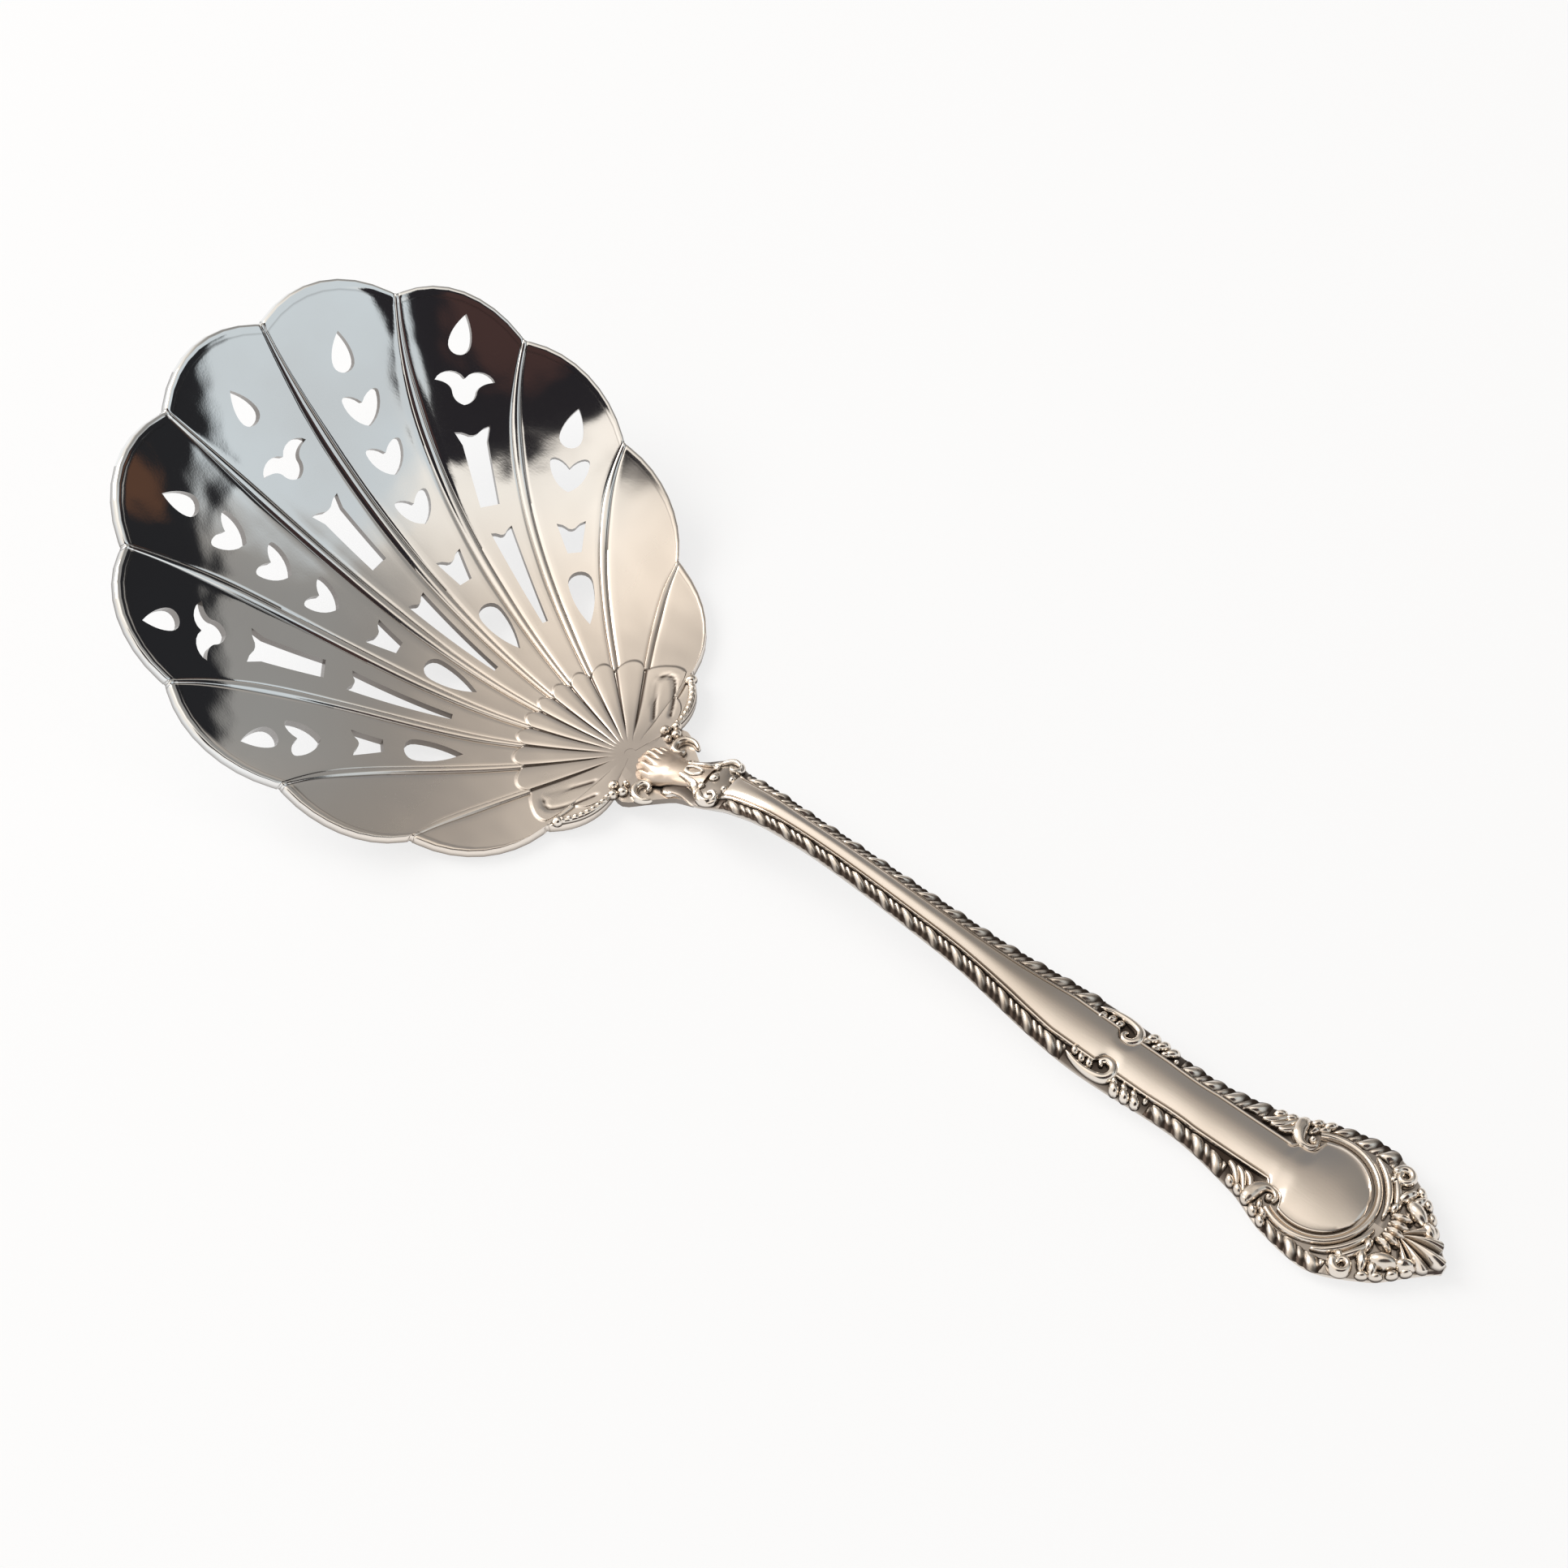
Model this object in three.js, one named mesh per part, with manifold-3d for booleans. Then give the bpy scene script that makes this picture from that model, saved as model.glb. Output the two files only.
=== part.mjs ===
import * as THREE from 'three';
import { mergeVertices } from 'three/addons/utils/BufferGeometryUtils.js';
import Module from 'manifold-3d';

// Pierced tomato server with a fluted shell bowl and a mounted handle.
// Millimetres, +Z up, the table at z = 0. The hub where the bowl's ribs meet is x = 0,
// the bowl lies towards -X and the handle towards +X.

// Bowl
const bowlThickness = 1.2;
const bowlLength = 72.6;          // across the scallop roots, front to heel
const bowlHalfWidth = 36.4;
const bowlTaper = 0.155;          // the outline is this much fuller at the front
const heelReach = 3;              // the outline's heel lies this far behind the hub
const scallopRise = 1.9;
const earRise = 1.2;
const scallopEnds = [13, 41.5, 69.5, 97.5, 122.5, 150.5];  // degrees round the outline
const earEnd = 168;
const restX = -13;                // lowest point of the dish
const frontRadius = 51.7;         // curvature of the dish at its lowest point
const heelRadius = 100;
const sideRadius = 80.65;
const sideFadeStart = -32;        // the side walls flatten between these two places
const sideFadeEnd = 6;
const fluteDepth = 0.45;
const fluteTurn = 7;              // the flutes turn up only beside their ribs
const ribGather = 0.68;           // a rib's bearing at the hub as a share of its bearing at the rim
const ribStraighten = 0.2;        // added per radian squared, so the side ribs run straighter
const fanRadius = 15.5;
const fanRise = 0.35;
const hubRadius = 0.8;
const tabReach = 12.5;            // lap of the bowl's heel under the handle
const tabSkin = 0.1;              // the lap is set this much inside the sheet's faces
const tabRootHalfWidth = 4;
const tabHeelHalfWidth = 7;
const dropStart = 0.4;            // drop under the heel, from here to a margin short of the lap's end
const dropMargin = 1.3;
const dropHalfWidth = 2.5;
const dropHeight = 0.6;

// Piercings
const tearLength = 5.7;
const tearWidth = 3.2;
const trefoilLength = 4.7;
const trefoilWidth = 8.4;
const heartLength = 4.8;
const heartWidth = 5.6;
const shieldLength = 4.3;
const shieldRimWidth = 4;
const shieldHubWidth = 1.9;
const leafLength = 7.9;
const leafWidth = 3.4;
const slotLength = 10.8;
const slotRimWidth = 3.6;
const slotHubWidth = 2.7;
const slotHorn = 0.75;             // the rim end of the slot flares into two horns
const tailSlotLength = 14.4;
const tailSlotRimWidth = 3.1;
const tailSlotHubWidth = 0.8;

// Handle
const handleReach = 125.5;        // hub to tip
const noseX = 7;                  // front end of the handle on the lap
const noseDepth = 0.35;
const collarX = 14.2;
const collarRise = 3.4;           // border ledge above the lap at the collar
const archX = 25;
const archHeight = 10.6;          // border ledge above the table at the top of the arch
const stemDepth = 2.2;            // border ledge down to the underside
const endDepth = 2.5;
const tipLift = 0.9;              // the underside turns up at the tip
const fieldRise = 1.1;            // domed field above the border ledge
const stemHalfWidth = 2.5;
const collarHalfWidth = 4.4;
const waistHalfWidth = 5.4;
const dipHalfWidth = 4.9;
const endHalfWidth = 10.2;
const tipHalfWidth = 0.6;
const stemBorder = 1.4;
const waistBorder = 1.95;
const endBorder = 2.2;
const waistFromTip = 47.9;
const endFromTip = 16.9;          // fullest part of the end
const fieldEndHalfWidth = 3.1;
const panelFromTip = 17.9;
const panelRadius = 6.4;
const threadWidth = 1.2;
const threadHeight = 0.6;

// Mounts on the handle
const seatGap = 0.25;             // solder line under and beside every mount
const lobePitch = 3.55;
const lobeHeight = 0.75;
const lobeRoot = 0.3;
const lobeSlant = 0.55;           // of a pitch, towards the tip at the outer edge
const scrollRadius = 1.6;
const scrollY = 3.35;
const scrollHalfWidth = 0.42;
const mountHeight = 0.95;
const tongueFront = 2.2;
const tongueHalfWidth = 3.1;
const tongueHeight = 2.5;
const neckScrollHalfWidth = 0.8;
const earSeat = 0.2;               // the ear strand clears the flutes by this and the solder line
const earStrandInset = 0.95;
const earStrandHalfWidth = 0.6;
const endScrollInset = 1.6;        // eye of the end scroll, in from the handle's edge
const finialSetback = 1;           // root of the shell behind the thread
const finialHalfAngle = 60;
const finialRays = 7;

const wasm = await Module();
wasm.setup();

const halfLength = bowlLength / 2;
const outlineX = heelReach - halfLength;
const waistX = handleReach - waistFromTip;
const endX = handleReach - endFromTip;
const panelX = handleReach - panelFromTip;
const threadRadius = panelRadius + seatGap + threadWidth / 2;
const threadOuter = threadRadius + threadWidth / 2 + seatGap;
const shoulderX = endX - 5.2;
const finialX = panelX + threadOuter + finialSetback;
const scrollReach = scrollRadius + scrollHalfWidth;

const bowlSilver = new THREE.MeshStandardMaterial({ color: 0xcac6c2, roughness: 0.14, metalness: 1 });
const stemSilver = new THREE.MeshStandardMaterial({ color: 0xbfb2a4, roughness: 0.3, metalness: 1 });
const mountSilver = new THREE.MeshStandardMaterial({ color: 0xa89a89, roughness: 0.38, metalness: 1 });

// Smooth curve y(x) through points in rising x, without overshoot.
function smooth(points) {
  const slopes = points.slice(1).map(([x, y], i) => (y - points[i][1]) / (x - points[i][0]));
  const tangents = points.map((point, i) => {
    if (i === 0) return slopes[0];
    if (i === slopes.length) return slopes[i - 1];
    const product = slopes[i - 1] * slopes[i];
    return product <= 0 ? 0 : 2 * product / (slopes[i - 1] + slopes[i]);
  });
  return (x) => {
    let i = 0;
    while (i < slopes.length - 1 && x > points[i + 1][0]) i += 1;
    const width = points[i + 1][0] - points[i][0];
    const t = THREE.MathUtils.clamp((x - points[i][0]) / width, 0, 1);
    const rise = points[i + 1][1] - points[i][1];
    const bend = t * (1 - t) * width * (tangents[i] * (1 - t) - tangents[i + 1] * t);
    return points[i][1] + rise * t * t * (3 - 2 * t) + bend;
  };
}

// Closed position-only mesh with its faces turned outwards.
function tidy(geometry) {
  geometry.deleteAttribute('normal');
  geometry.deleteAttribute('uv');
  const merged = mergeVertices(geometry, 1e-4);
  const position = merged.getAttribute('position');
  const corner = [new THREE.Vector3(), new THREE.Vector3(), new THREE.Vector3()];
  const faces = [];
  let volume = 0;
  for (let i = 0; i < merged.index.count; i += 3) {
    const face = [0, 1, 2].map((k) => merged.index.getX(i + k));
    if (new Set(face).size < 3) continue;
    face.forEach((v, k) => corner[k].fromBufferAttribute(position, v));
    volume += corner[0].dot(corner[1].cross(corner[2]));
    faces.push(face);
  }
  merged.setIndex(faces.flatMap(([a, b, c]) => (volume < 0 ? [a, c, b] : [a, b, c])));
  return merged;
}

// Moves every vertex of a geometry through a function of its place.
function bend(geometry, place) {
  const position = geometry.getAttribute('position');
  const at = new THREE.Vector3();
  for (let i = 0; i < position.count; i += 1) {
    const [x, y, z] = place(at.fromBufferAttribute(position, i));
    position.setXYZ(i, x, y, z);
  }
  return tidy(geometry);
}

// Loft through rings of equal point count.
function loft(rings) {
  const around = rings[0].length;
  const along = rings.length - 1;
  const blank = new THREE.CylinderGeometry(1, 1, 1, around, along);
  return bend(blank, ({ x, y, z }) => {
    const ring = rings[Math.round((0.5 - y) * along)];
    if (Math.hypot(x, z) > 0.5) {
      const turn = Math.round(Math.atan2(x, z) / (2 * Math.PI) * around);
      return ring[(turn + around) % around];
    }
    const sum = ring.reduce((total, point) => total.map((value, k) => value + point[k]), [0, 0, 0]);
    return sum.map((value) => value / around);
  });
}

// Plate bent from a unit slab: u and v run 0 to 1, face is 0 underneath and 1 on top.
function plate(across, along, place) {
  const slab = new THREE.BoxGeometry(1, 1, 1, across, along, 1);
  return bend(slab, ({ x, y, z }) => place(x + 0.5, y + 0.5, z + 0.5));
}

function solidOf(geometry) {
  const vertProperties = new Float32Array(geometry.getAttribute('position').array);
  const triVerts = new Uint32Array(geometry.index.array);
  return new wasm.Manifold(new wasm.Mesh({ numProp: 3, vertProperties, triVerts }));
}

function geometryOf(solid) {
  const mesh = solid.getMesh();
  const geometry = new THREE.BufferGeometry();
  geometry.setAttribute('position', new THREE.BufferAttribute(new Float32Array(mesh.vertProperties), 3));
  geometry.setIndex(Array.from(mesh.triVerts));
  return geometry;
}

function join(geometries) {
  const solids = geometries.map(solidOf);
  return geometryOf(solids.reduce((sum, solid) => sum.add(solid)));
}

function cut(geometry, cutters) {
  return geometryOf(cutters.map(solidOf).reduce((rest, cutter) => rest.subtract(cutter), solidOf(geometry)));
}

function mirrored(geometry) {
  return bend(geometry.clone(), ({ x, y, z }) => [x, -y, z]);
}

// Bowl: a parabolic dish, shallower behind its lowest point.
function dish(x, y) {
  const run = x - restX;
  const flat = THREE.MathUtils.smoothstep(x, sideFadeStart, sideFadeEnd);
  const lengthwise = run * run / (2 * (run < 0 ? frontRadius : heelRadius));
  return bowlThickness + lengthwise + (1 - flat) * y * y / (2 * sideRadius);
}

function dishNormal(x, y) {
  const step = 0.05;
  const slopeX = (dish(x + step, y) - dish(x - step, y)) / (2 * step);
  const slopeY = (dish(x, y + step) - dish(x, y - step)) / (2 * step);
  return new THREE.Vector3(-slopeX, -slopeY, 1).normalize();
}

// Scallop roots round the egg-shaped outline, from one ear to the other.
const rightEnds = [...scallopEnds, earEnd];
const scallopRoots = [...rightEnds.map((angle) => -angle).reverse(), ...rightEnds];
const scallops = scallopRoots.length - 1;

function eggPoint(degrees) {
  const angle = THREE.MathUtils.degToRad(degrees);
  const swell = 1 + bowlTaper * Math.cos(angle);
  const x = outlineX - halfLength * Math.cos(angle);
  return new THREE.Vector2(x, bowlHalfWidth * Math.sin(angle) * swell);
}

function rimPoint(scallop, share) {
  const from = scallopRoots[scallop];
  const degrees = from + (scallopRoots[scallop + 1] - from) * share;
  const ahead = eggPoint(degrees + 0.1).sub(eggPoint(degrees - 0.1)).normalize();
  const ear = scallop === 0 || scallop === scallops - 1;
  const rise = (ear ? earRise : scallopRise) * (1 - (2 * share - 1) ** 2);
  return eggPoint(degrees).add(new THREE.Vector2(-ahead.y, ahead.x).multiplyScalar(rise));
}

// Place in plan along the curve from the hub to a rim point.
function shellPoint(rim, distance) {
  const bearing = Math.atan2(rim.y, -rim.x);
  const gather = Math.min(1, ribGather + ribStraighten * bearing * bearing);
  const turn = bearing * (gather + (1 - gather) * (distance / rim.length()) ** 4);
  return new THREE.Vector2(-distance * Math.cos(turn), distance * Math.sin(turn));
}

// Bowl sheet: rows from the hub across the inner fan, a step, and the flutes out to the rim.
const fanRows = 2;
const fluteRows = 5;
const scallopSteps = 4;

function bowlSheet() {
  const rows = fanRows + 1 + fluteRows;
  return plate(scallops * scallopSteps, rows, (u, v, face) => {
    const column = Math.round(u * scallops * scallopSteps);
    const scallop = Math.min(Math.floor(column / scallopSteps), scallops - 1);
    const share = (column - scallop * scallopSteps) / scallopSteps;
    const rim = rimPoint(scallop, share);
    const fan = Math.min(fanRadius, 0.78 * rim.length());
    const row = Math.round(v * rows);
    const onFan = row <= fanRows;
    const reach = onFan
      ? hubRadius + (fan - hubRadius) * row / fanRows
      : fan + fanRise + (rim.length() - fan - fanRise) * (row - fanRows - 1) / fluteRows;
    const { x, y } = shellPoint(rim, reach);
    const across = Math.abs(2 * share - 1);
    const fade = THREE.MathUtils.smoothstep(reach, hubRadius, 2.2 * fanRadius);
    const flute = fluteDepth * fade * across ** fluteTurn;
    const petal = onFan && face > 0.5 ? fanRise * (1 - across ** 3) * Math.min(1, row) : 0;
    const normal = dishNormal(x, y).multiplyScalar((face - 1) * bowlThickness);
    return [x + normal.x, y + normal.y, dish(x, y) + flute + petal + normal.z];
  });
}

// Half width of the bowl's heel where it laps under the handle.
const tabHalfWidth = smooth([
  [-hubRadius, tabRootHalfWidth], [heelReach + 1, tabHeelHalfWidth],
  [noseX, collarHalfWidth + 0.7], [tabReach, collarHalfWidth],
]);

function heelTab() {
  return plate(4, 6, (u, v, face) => {
    const x = -hubRadius + (tabReach + hubRadius) * v;
    const y = tabHalfWidth(x) * (2 * u - 1);
    const skin = face > 0.5 ? -tabSkin : tabSkin - bowlThickness;
    return [x, y, dish(x, y) + skin];
  });
}

// Piercings are drawn with x towards the rim and y across the lobe.
function teardrop(length, width, pointAhead) {
  const way = pointAhead ? 1 : -1;
  const half = width / 2;
  const round = length / 2 - half;
  const back = -way * (round + half * 1.33);
  const shape = new THREE.Shape();
  shape.moveTo(way * length / 2, 0);
  shape.quadraticCurveTo(way * length * 0.12, half, -way * round, half);
  shape.bezierCurveTo(back, half, back, -half, -way * round, -half);
  shape.quadraticCurveTo(way * length * 0.12, -half, way * length / 2, 0);
  return shape;
}

// The shoulders of the heart flare towards the rim.
function heart(length, width) {
  const shape = new THREE.Shape();
  shape.moveTo(-0.5 * length, 0);
  const out = [-0.36 * length, 0.3 * width, 0.02 * length, 0.48 * width];
  const over = [0.56 * length, 0.5 * width, 0.52 * length, 0.2 * width];
  shape.bezierCurveTo(out[0], -out[1], out[2], -out[3], 0.36 * length, -0.49 * width);
  shape.bezierCurveTo(over[0], -over[1], over[2], -over[3], 0.2 * length, 0);
  shape.bezierCurveTo(over[2], over[3], over[0], over[1], 0.36 * length, 0.49 * width);
  shape.bezierCurveTo(out[2], out[3], out[0], out[1], -0.5 * length, 0);
  return shape;
}

// Rounded foot at the hub side and two wings at the rim side.
function trefoil(length, width) {
  const shape = new THREE.Shape();
  const waist = [-0.09 * length, 0.21 * width];
  const wing = [0.19 * length, 0.5 * width];
  const over = [0.48 * length, 0.44 * width, 0.62 * length, 0.14 * width];
  shape.moveTo(-0.5 * length, 0);
  shape.quadraticCurveTo(-0.42 * length, -0.19 * width, waist[0], -waist[1]);
  shape.quadraticCurveTo(0.15 * length, -0.26 * width, wing[0], -wing[1]);
  shape.bezierCurveTo(over[0], -over[1], over[2], -over[3], 0.27 * length, 0);
  shape.bezierCurveTo(over[2], over[3], over[0], over[1], wing[0], wing[1]);
  shape.quadraticCurveTo(0.15 * length, 0.26 * width, waist[0], waist[1]);
  shape.quadraticCurveTo(-0.42 * length, 0.19 * width, -0.5 * length, 0);
  return shape;
}

// Tapering slot whose rim end is notched, between horns where it flares.
function slot(length, rimWidth, hubWidth, horn = 0) {
  const far = length / 2;
  const rim = rimWidth / 2;
  const corners = [[-far, -hubWidth / 2], [far, -rim - horn], [far - 0.24 * rimWidth, 0], [far, rim + horn]];
  corners.push([-far, hubWidth / 2]);
  if (horn > 0) {
    corners.splice(1, 0, [far - 2.6 * horn, -rim]);
    corners.splice(5, 0, [far - 2.6 * horn, rim]);
  }
  return new THREE.Shape(corners.map(([x, y]) => new THREE.Vector2(x, y)));
}

// Each piercing lies at a share of its lobe's length from the hub.
const tear = teardrop(tearLength, tearWidth, true);
const leaf = teardrop(leafLength, leafWidth, false);
const tulip = trefoil(trefoilLength, trefoilWidth);
const shield = slot(shieldLength, shieldRimWidth, shieldHubWidth);
const outerSlot = slot(slotLength, slotRimWidth, slotHubWidth, slotHorn);
const innerSlot = slot(tailSlotLength, tailSlotRimWidth, tailSlotHubWidth);
const hearts = [1, 0.98, 0.94].map((size) => heart(size * heartLength, size * heartWidth));

const frontLobe = [[0.9, tear], [0.8, tulip], [0.66, outerSlot], [0.418, innerSlot]];
const heartLobe = [
  [0.902, tear], [0.815, hearts[0]], [0.732, hearts[1]],
  [0.64, hearts[2]], [0.518, shield], [0.382, leaf],
];
const slotLobe = [[0.935, tear], [0.85, tulip], [0.71, outerSlot], [0.485, innerSlot]];
const sideLobe = [[0.888, tear], [0.785, hearts[0]], [0.638, shield], [0.482, leaf]];
const lobePatterns = [frontLobe, heartLobe, slotLobe, sideLobe];

function piercing(rim, share, shape) {
  const reach = rim.length();
  const at = shellPoint(rim, share * reach);
  const ahead = shellPoint(rim, share * reach + 0.1).sub(at);
  const up = dishNormal(at.x, at.y);
  const forward = new THREE.Vector3(ahead.x, ahead.y, 0);
  forward.addScaledVector(up, -forward.dot(up)).normalize();
  const across = new THREE.Vector3().crossVectors(up, forward);
  const depth = 4 * (bowlThickness + fluteDepth);
  const cutter = new THREE.ExtrudeGeometry(shape, { depth, bevelEnabled: false, curveSegments: 3 });
  cutter.translate(0, 0, -depth / 2);
  cutter.applyMatrix4(new THREE.Matrix4().makeBasis(forward, across, up));
  cutter.translate(at.x, at.y, dish(at.x, at.y));
  return tidy(cutter);
}

function makeBowl() {
  const front = (scallops - 1) / 2;
  const cutters = lobePatterns.flatMap((pattern, lobe) => {
    const sides = lobe === 0 ? [front] : [front - lobe, front + lobe];
    return sides.flatMap((scallop) => {
      const rim = rimPoint(scallop, 0.5);
      return pattern.map(([share, shape]) => piercing(rim, share, shape));
    });
  });
  return cut(join([bowlSheet(), heelTab()]), cutters);
}

// Handle: half width, border ledge and underside along its length.
const handleHalfWidth = smooth([
  [noseX, stemHalfWidth + 0.4], [collarX - 4, stemHalfWidth + 0.7], [collarX, collarHalfWidth],
  [collarX + 4.2, stemHalfWidth + 0.7], [archX + 5, stemHalfWidth], [archX + 28, stemHalfWidth + 0.7],
  [waistX - 2, waistHalfWidth], [waistX + 10.4, dipHalfWidth], [endX - 9.6, dipHalfWidth + 1.8],
  [endX - 3.6, endHalfWidth - 1.1], [endX + 2.7, endHalfWidth], [endX + 10.4, 0.69 * endHalfWidth],
  [endX + 14.4, 0.3 * endHalfWidth], [handleReach, tipHalfWidth],
]);
const lapTop = dish(tabReach, 0) + seatGap;
const ledge = smooth([
  [noseX, dish(noseX, 0) + seatGap + noseDepth], [collarX, lapTop + collarRise],
  [archX, archHeight], [archX + 5, archHeight - 0.1], [archX + 24, archHeight - 2.2],
  [waistX - 9.6, endDepth + 2.6],
  [waistX, endDepth + 1.6], [waistX + 11.4, endDepth + 0.7], [endX - 5, endDepth],
  [endX + 7, endDepth], [handleReach, endDepth - 0.3],
]);
const underside = smooth([
  [noseX, dish(noseX, 0) + seatGap], [tabReach, lapTop], [archX, archHeight - stemDepth],
  [archX + 5, archHeight - 0.1 - stemDepth], [archX + 24, archHeight - 2.2 - stemDepth],
  [waistX, endDepth + 1.6 - stemDepth],
  [endX - 9.6, 0], [endX + 9.6, 0], [handleReach, tipLift],
]);
const borderWidth = smooth([
  [collarX, stemBorder], [archX + 5, stemBorder], [waistX - 10, waistBorder],
  [waistX + 11, waistBorder], [endX - 9.6, endBorder],
]);
const fieldHalfWidth = (x) => Math.min(handleHalfWidth(x) - borderWidth(x), fieldEndHalfWidth);

function stations(from, to, count) {
  return Array.from({ length: count + 1 }, (unused, i) => from + (to - from) * i / count);
}

function handleBlank() {
  const places = [...stations(noseX, waistX, 26), ...stations(waistX, handleReach, 26).slice(1)];
  return loft(places.map((x) => {
    const half = handleHalfWidth(x);
    const low = underside(x);
    const top = ledge(x);
    const chine = low + 0.3 * (top - low);
    return [
      [x, -0.72 * half, low], [x, 0.72 * half, low], [x, half, chine],
      [x, half, top], [x, -half, top], [x, -half, chine],
    ];
  }));
}

// Domed field from behind the collar to the panel.
const fieldStart = collarX + 3.4;

function stemField() {
  return loft(stations(fieldStart, panelX, 32).map((x) => {
    const half = fieldHalfWidth(x);
    const top = ledge(x) + fieldRise;
    const foot = ledge(x) - 0.5;
    const edge = ledge(x) + 0.55 * fieldRise;
    return [
      [x, -half, foot], [x, half, foot], [x, half, edge],
      [x, 0.55 * half, top - 0.12 * fieldRise], [x, 0, top],
      [x, -0.55 * half, top - 0.12 * fieldRise], [x, -half, edge],
    ];
  }));
}

function panelDisc() {
  const profile = [[0, -0.5], [1, -0.5], [1, 0.5], [0.8, 0.62], [0.45, 0.9], [0, 1]];
  const outline = profile.map(([share, rise]) => {
    return new THREE.Vector2(share * panelRadius, rise < 0 ? rise : rise * fieldRise);
  });
  const disc = new THREE.LatheGeometry(outline, 36).rotateX(Math.PI / 2);
  disc.translate(panelX, 0, ledge(panelX));
  return tidy(disc);
}

// Clear round for a scroll or bead that bites into the field.
function fieldBite(x, y, radius) {
  const sides = 28;
  const reach = radius / Math.cos(Math.PI / sides);
  const round = new THREE.CylinderGeometry(reach, reach, 4 * fieldRise, sides).rotateX(Math.PI / 2);
  round.translate(x, y, ledge(x) + 2 * fieldRise);
  return tidy(round);
}

const shoulderY = 5.2;
const shoulderReach = 1.9;

function makeHandle() {
  const bites = [1, -1].flatMap((side) => [
    fieldBite(waistX, side * scrollY, scrollReach + seatGap),
    fieldBite(shoulderX, side * shoulderY, shoulderReach + seatGap),
  ]);
  const field = cut(join([stemField(), panelDisc()]), bites);
  return join([handleBlank(), field]);
}

// Mounts are modelled flat on z = 0 and then laid on the surface that carries them.
function laid(geometry, seat) {
  return bend(geometry, ({ x, y, z }) => [x, y, seat(x, y) + seatGap + z]);
}

// Half-round strip along a plan curve, tapered by a share that runs along it.
function strip(points, halfWidth, height, taper) {
  const curve = new THREE.SplineCurve(points.map(([x, y]) => new THREE.Vector2(x, y)));
  const count = 2 * (points.length - 1);
  return loft(stations(0, 1, count).map((share) => {
    const at = curve.getPoint(share);
    const ahead = curve.getTangent(share);
    const half = halfWidth * taper(share);
    const rise = height * (0.4 + 0.6 * taper(share));
    const side = (offset, z) => [at.x - ahead.y * offset * half, at.y + ahead.x * offset * half, z];
    return [
      side(-1, 0), side(1, 0), side(1, 0.45 * rise),
      side(0.5, rise), side(-0.5, rise), side(-1, 0.45 * rise),
    ];
  }));
}

function bead(x, y, length, width, height) {
  const profile = [[0, 0], [1, 0], [0.94, 0.42], [0.68, 0.8], [0, 1]];
  const dome = new THREE.LatheGeometry(profile.map(([r, z]) => new THREE.Vector2(r, z)), 8);
  dome.rotateX(Math.PI / 2).scale(length, width, height).translate(x, y, 0);
  return tidy(dome);
}

// Points of a scroll that curls inwards from a start bearing in degrees.
function curl(x, y, radius, startBearing, turn, steps) {
  return stations(0, 1, steps).map((share) => {
    const bearing = THREE.MathUtils.degToRad(startBearing - turn * share);
    const reach = radius * (1 - 0.55 * share);
    return [x + reach * Math.cos(bearing), y + reach * Math.sin(bearing)];
  });
}

// Slanted gadroon lobes between the field and the handle's edge.
const lobeSteps = 4;

function gadroon(from, to, inside) {
  const lobes = Math.max(1, Math.round((to - from) / lobePitch));
  return loft(stations(0, 1, lobes * lobeSteps).map((share) => {
    const x = from + (to - from) * share;
    const inner = inside(x) + seatGap;
    const outer = handleHalfWidth(x);
    const base = ledge(x) + seatGap;
    const crown = [1, 0.66, 0.33, 0].map((across) => {
      const swell = Math.abs(Math.sin(Math.PI * (share * lobes - lobeSlant * across)));
      const dome = 0.35 + 0.65 * Math.sin(Math.PI * across);
      return [x, inner + (outer - inner) * across, base + lobeRoot + lobeHeight * dome * swell ** 0.6];
    });
    return [[x, inner, base], [x, outer, base], ...crown];
  }));
}

const onLedge = (x) => ledge(x);
const waistTail = waistX - 5.4;
const leafEnd = waistX + 7.2;
const shoulderStart = shoulderX - 6.8;
const endStart = shoulderX + 1.6;
const endStop = endX + 4.2;

function stemGadroon() {
  return gadroon(collarX + 4.4, waistTail - 2 * seatGap, fieldHalfWidth);
}

function upperGadroon() {
  const inside = (x) => Math.max(fieldHalfWidth(x), handleHalfWidth(x) - endBorder);
  return gadroon(leafEnd + seatGap, shoulderStart - seatGap, inside);
}

function endGadroon() {
  const threadEdge = (x) => Math.sqrt(Math.max(0, (threadOuter - seatGap) ** 2 - (x - panelX) ** 2));
  return gadroon(endStart, endStop, (x) => Math.max(threadEdge(x), handleHalfWidth(x) - endBorder));
}

// C-scroll at the waist with its trailing leaf.
function waistScroll() {
  const spiral = curl(waistX, scrollY, scrollRadius, 90, 330, 8);
  const tail = [[waistTail, handleHalfWidth(waistTail) - 0.6], [waistX - 2.6, scrollY + scrollRadius - 0.1]];
  const band = (x) => (fieldHalfWidth(x) + seatGap + handleHalfWidth(x)) / 2;
  const room = (x) => 0.92 * (handleHalfWidth(x) - fieldHalfWidth(x) - seatGap) / 2;
  const leaves = [2.4, 4.1, 5.8].map((step, i) => {
    const x = waistX + step;
    return bead(x, band(x), 1.35, room(x), mountHeight * (1 - 0.12 * i));
  });
  const strand = strip([...tail, ...spiral], scrollHalfWidth, mountHeight, (share) => 1 - 0.35 * share);
  const eye = bead(waistX, scrollY, 0.75, 0.75, 0.9 * mountHeight);
  return laid(join([strand, eye, ...leaves]), onLedge);
}

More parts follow.
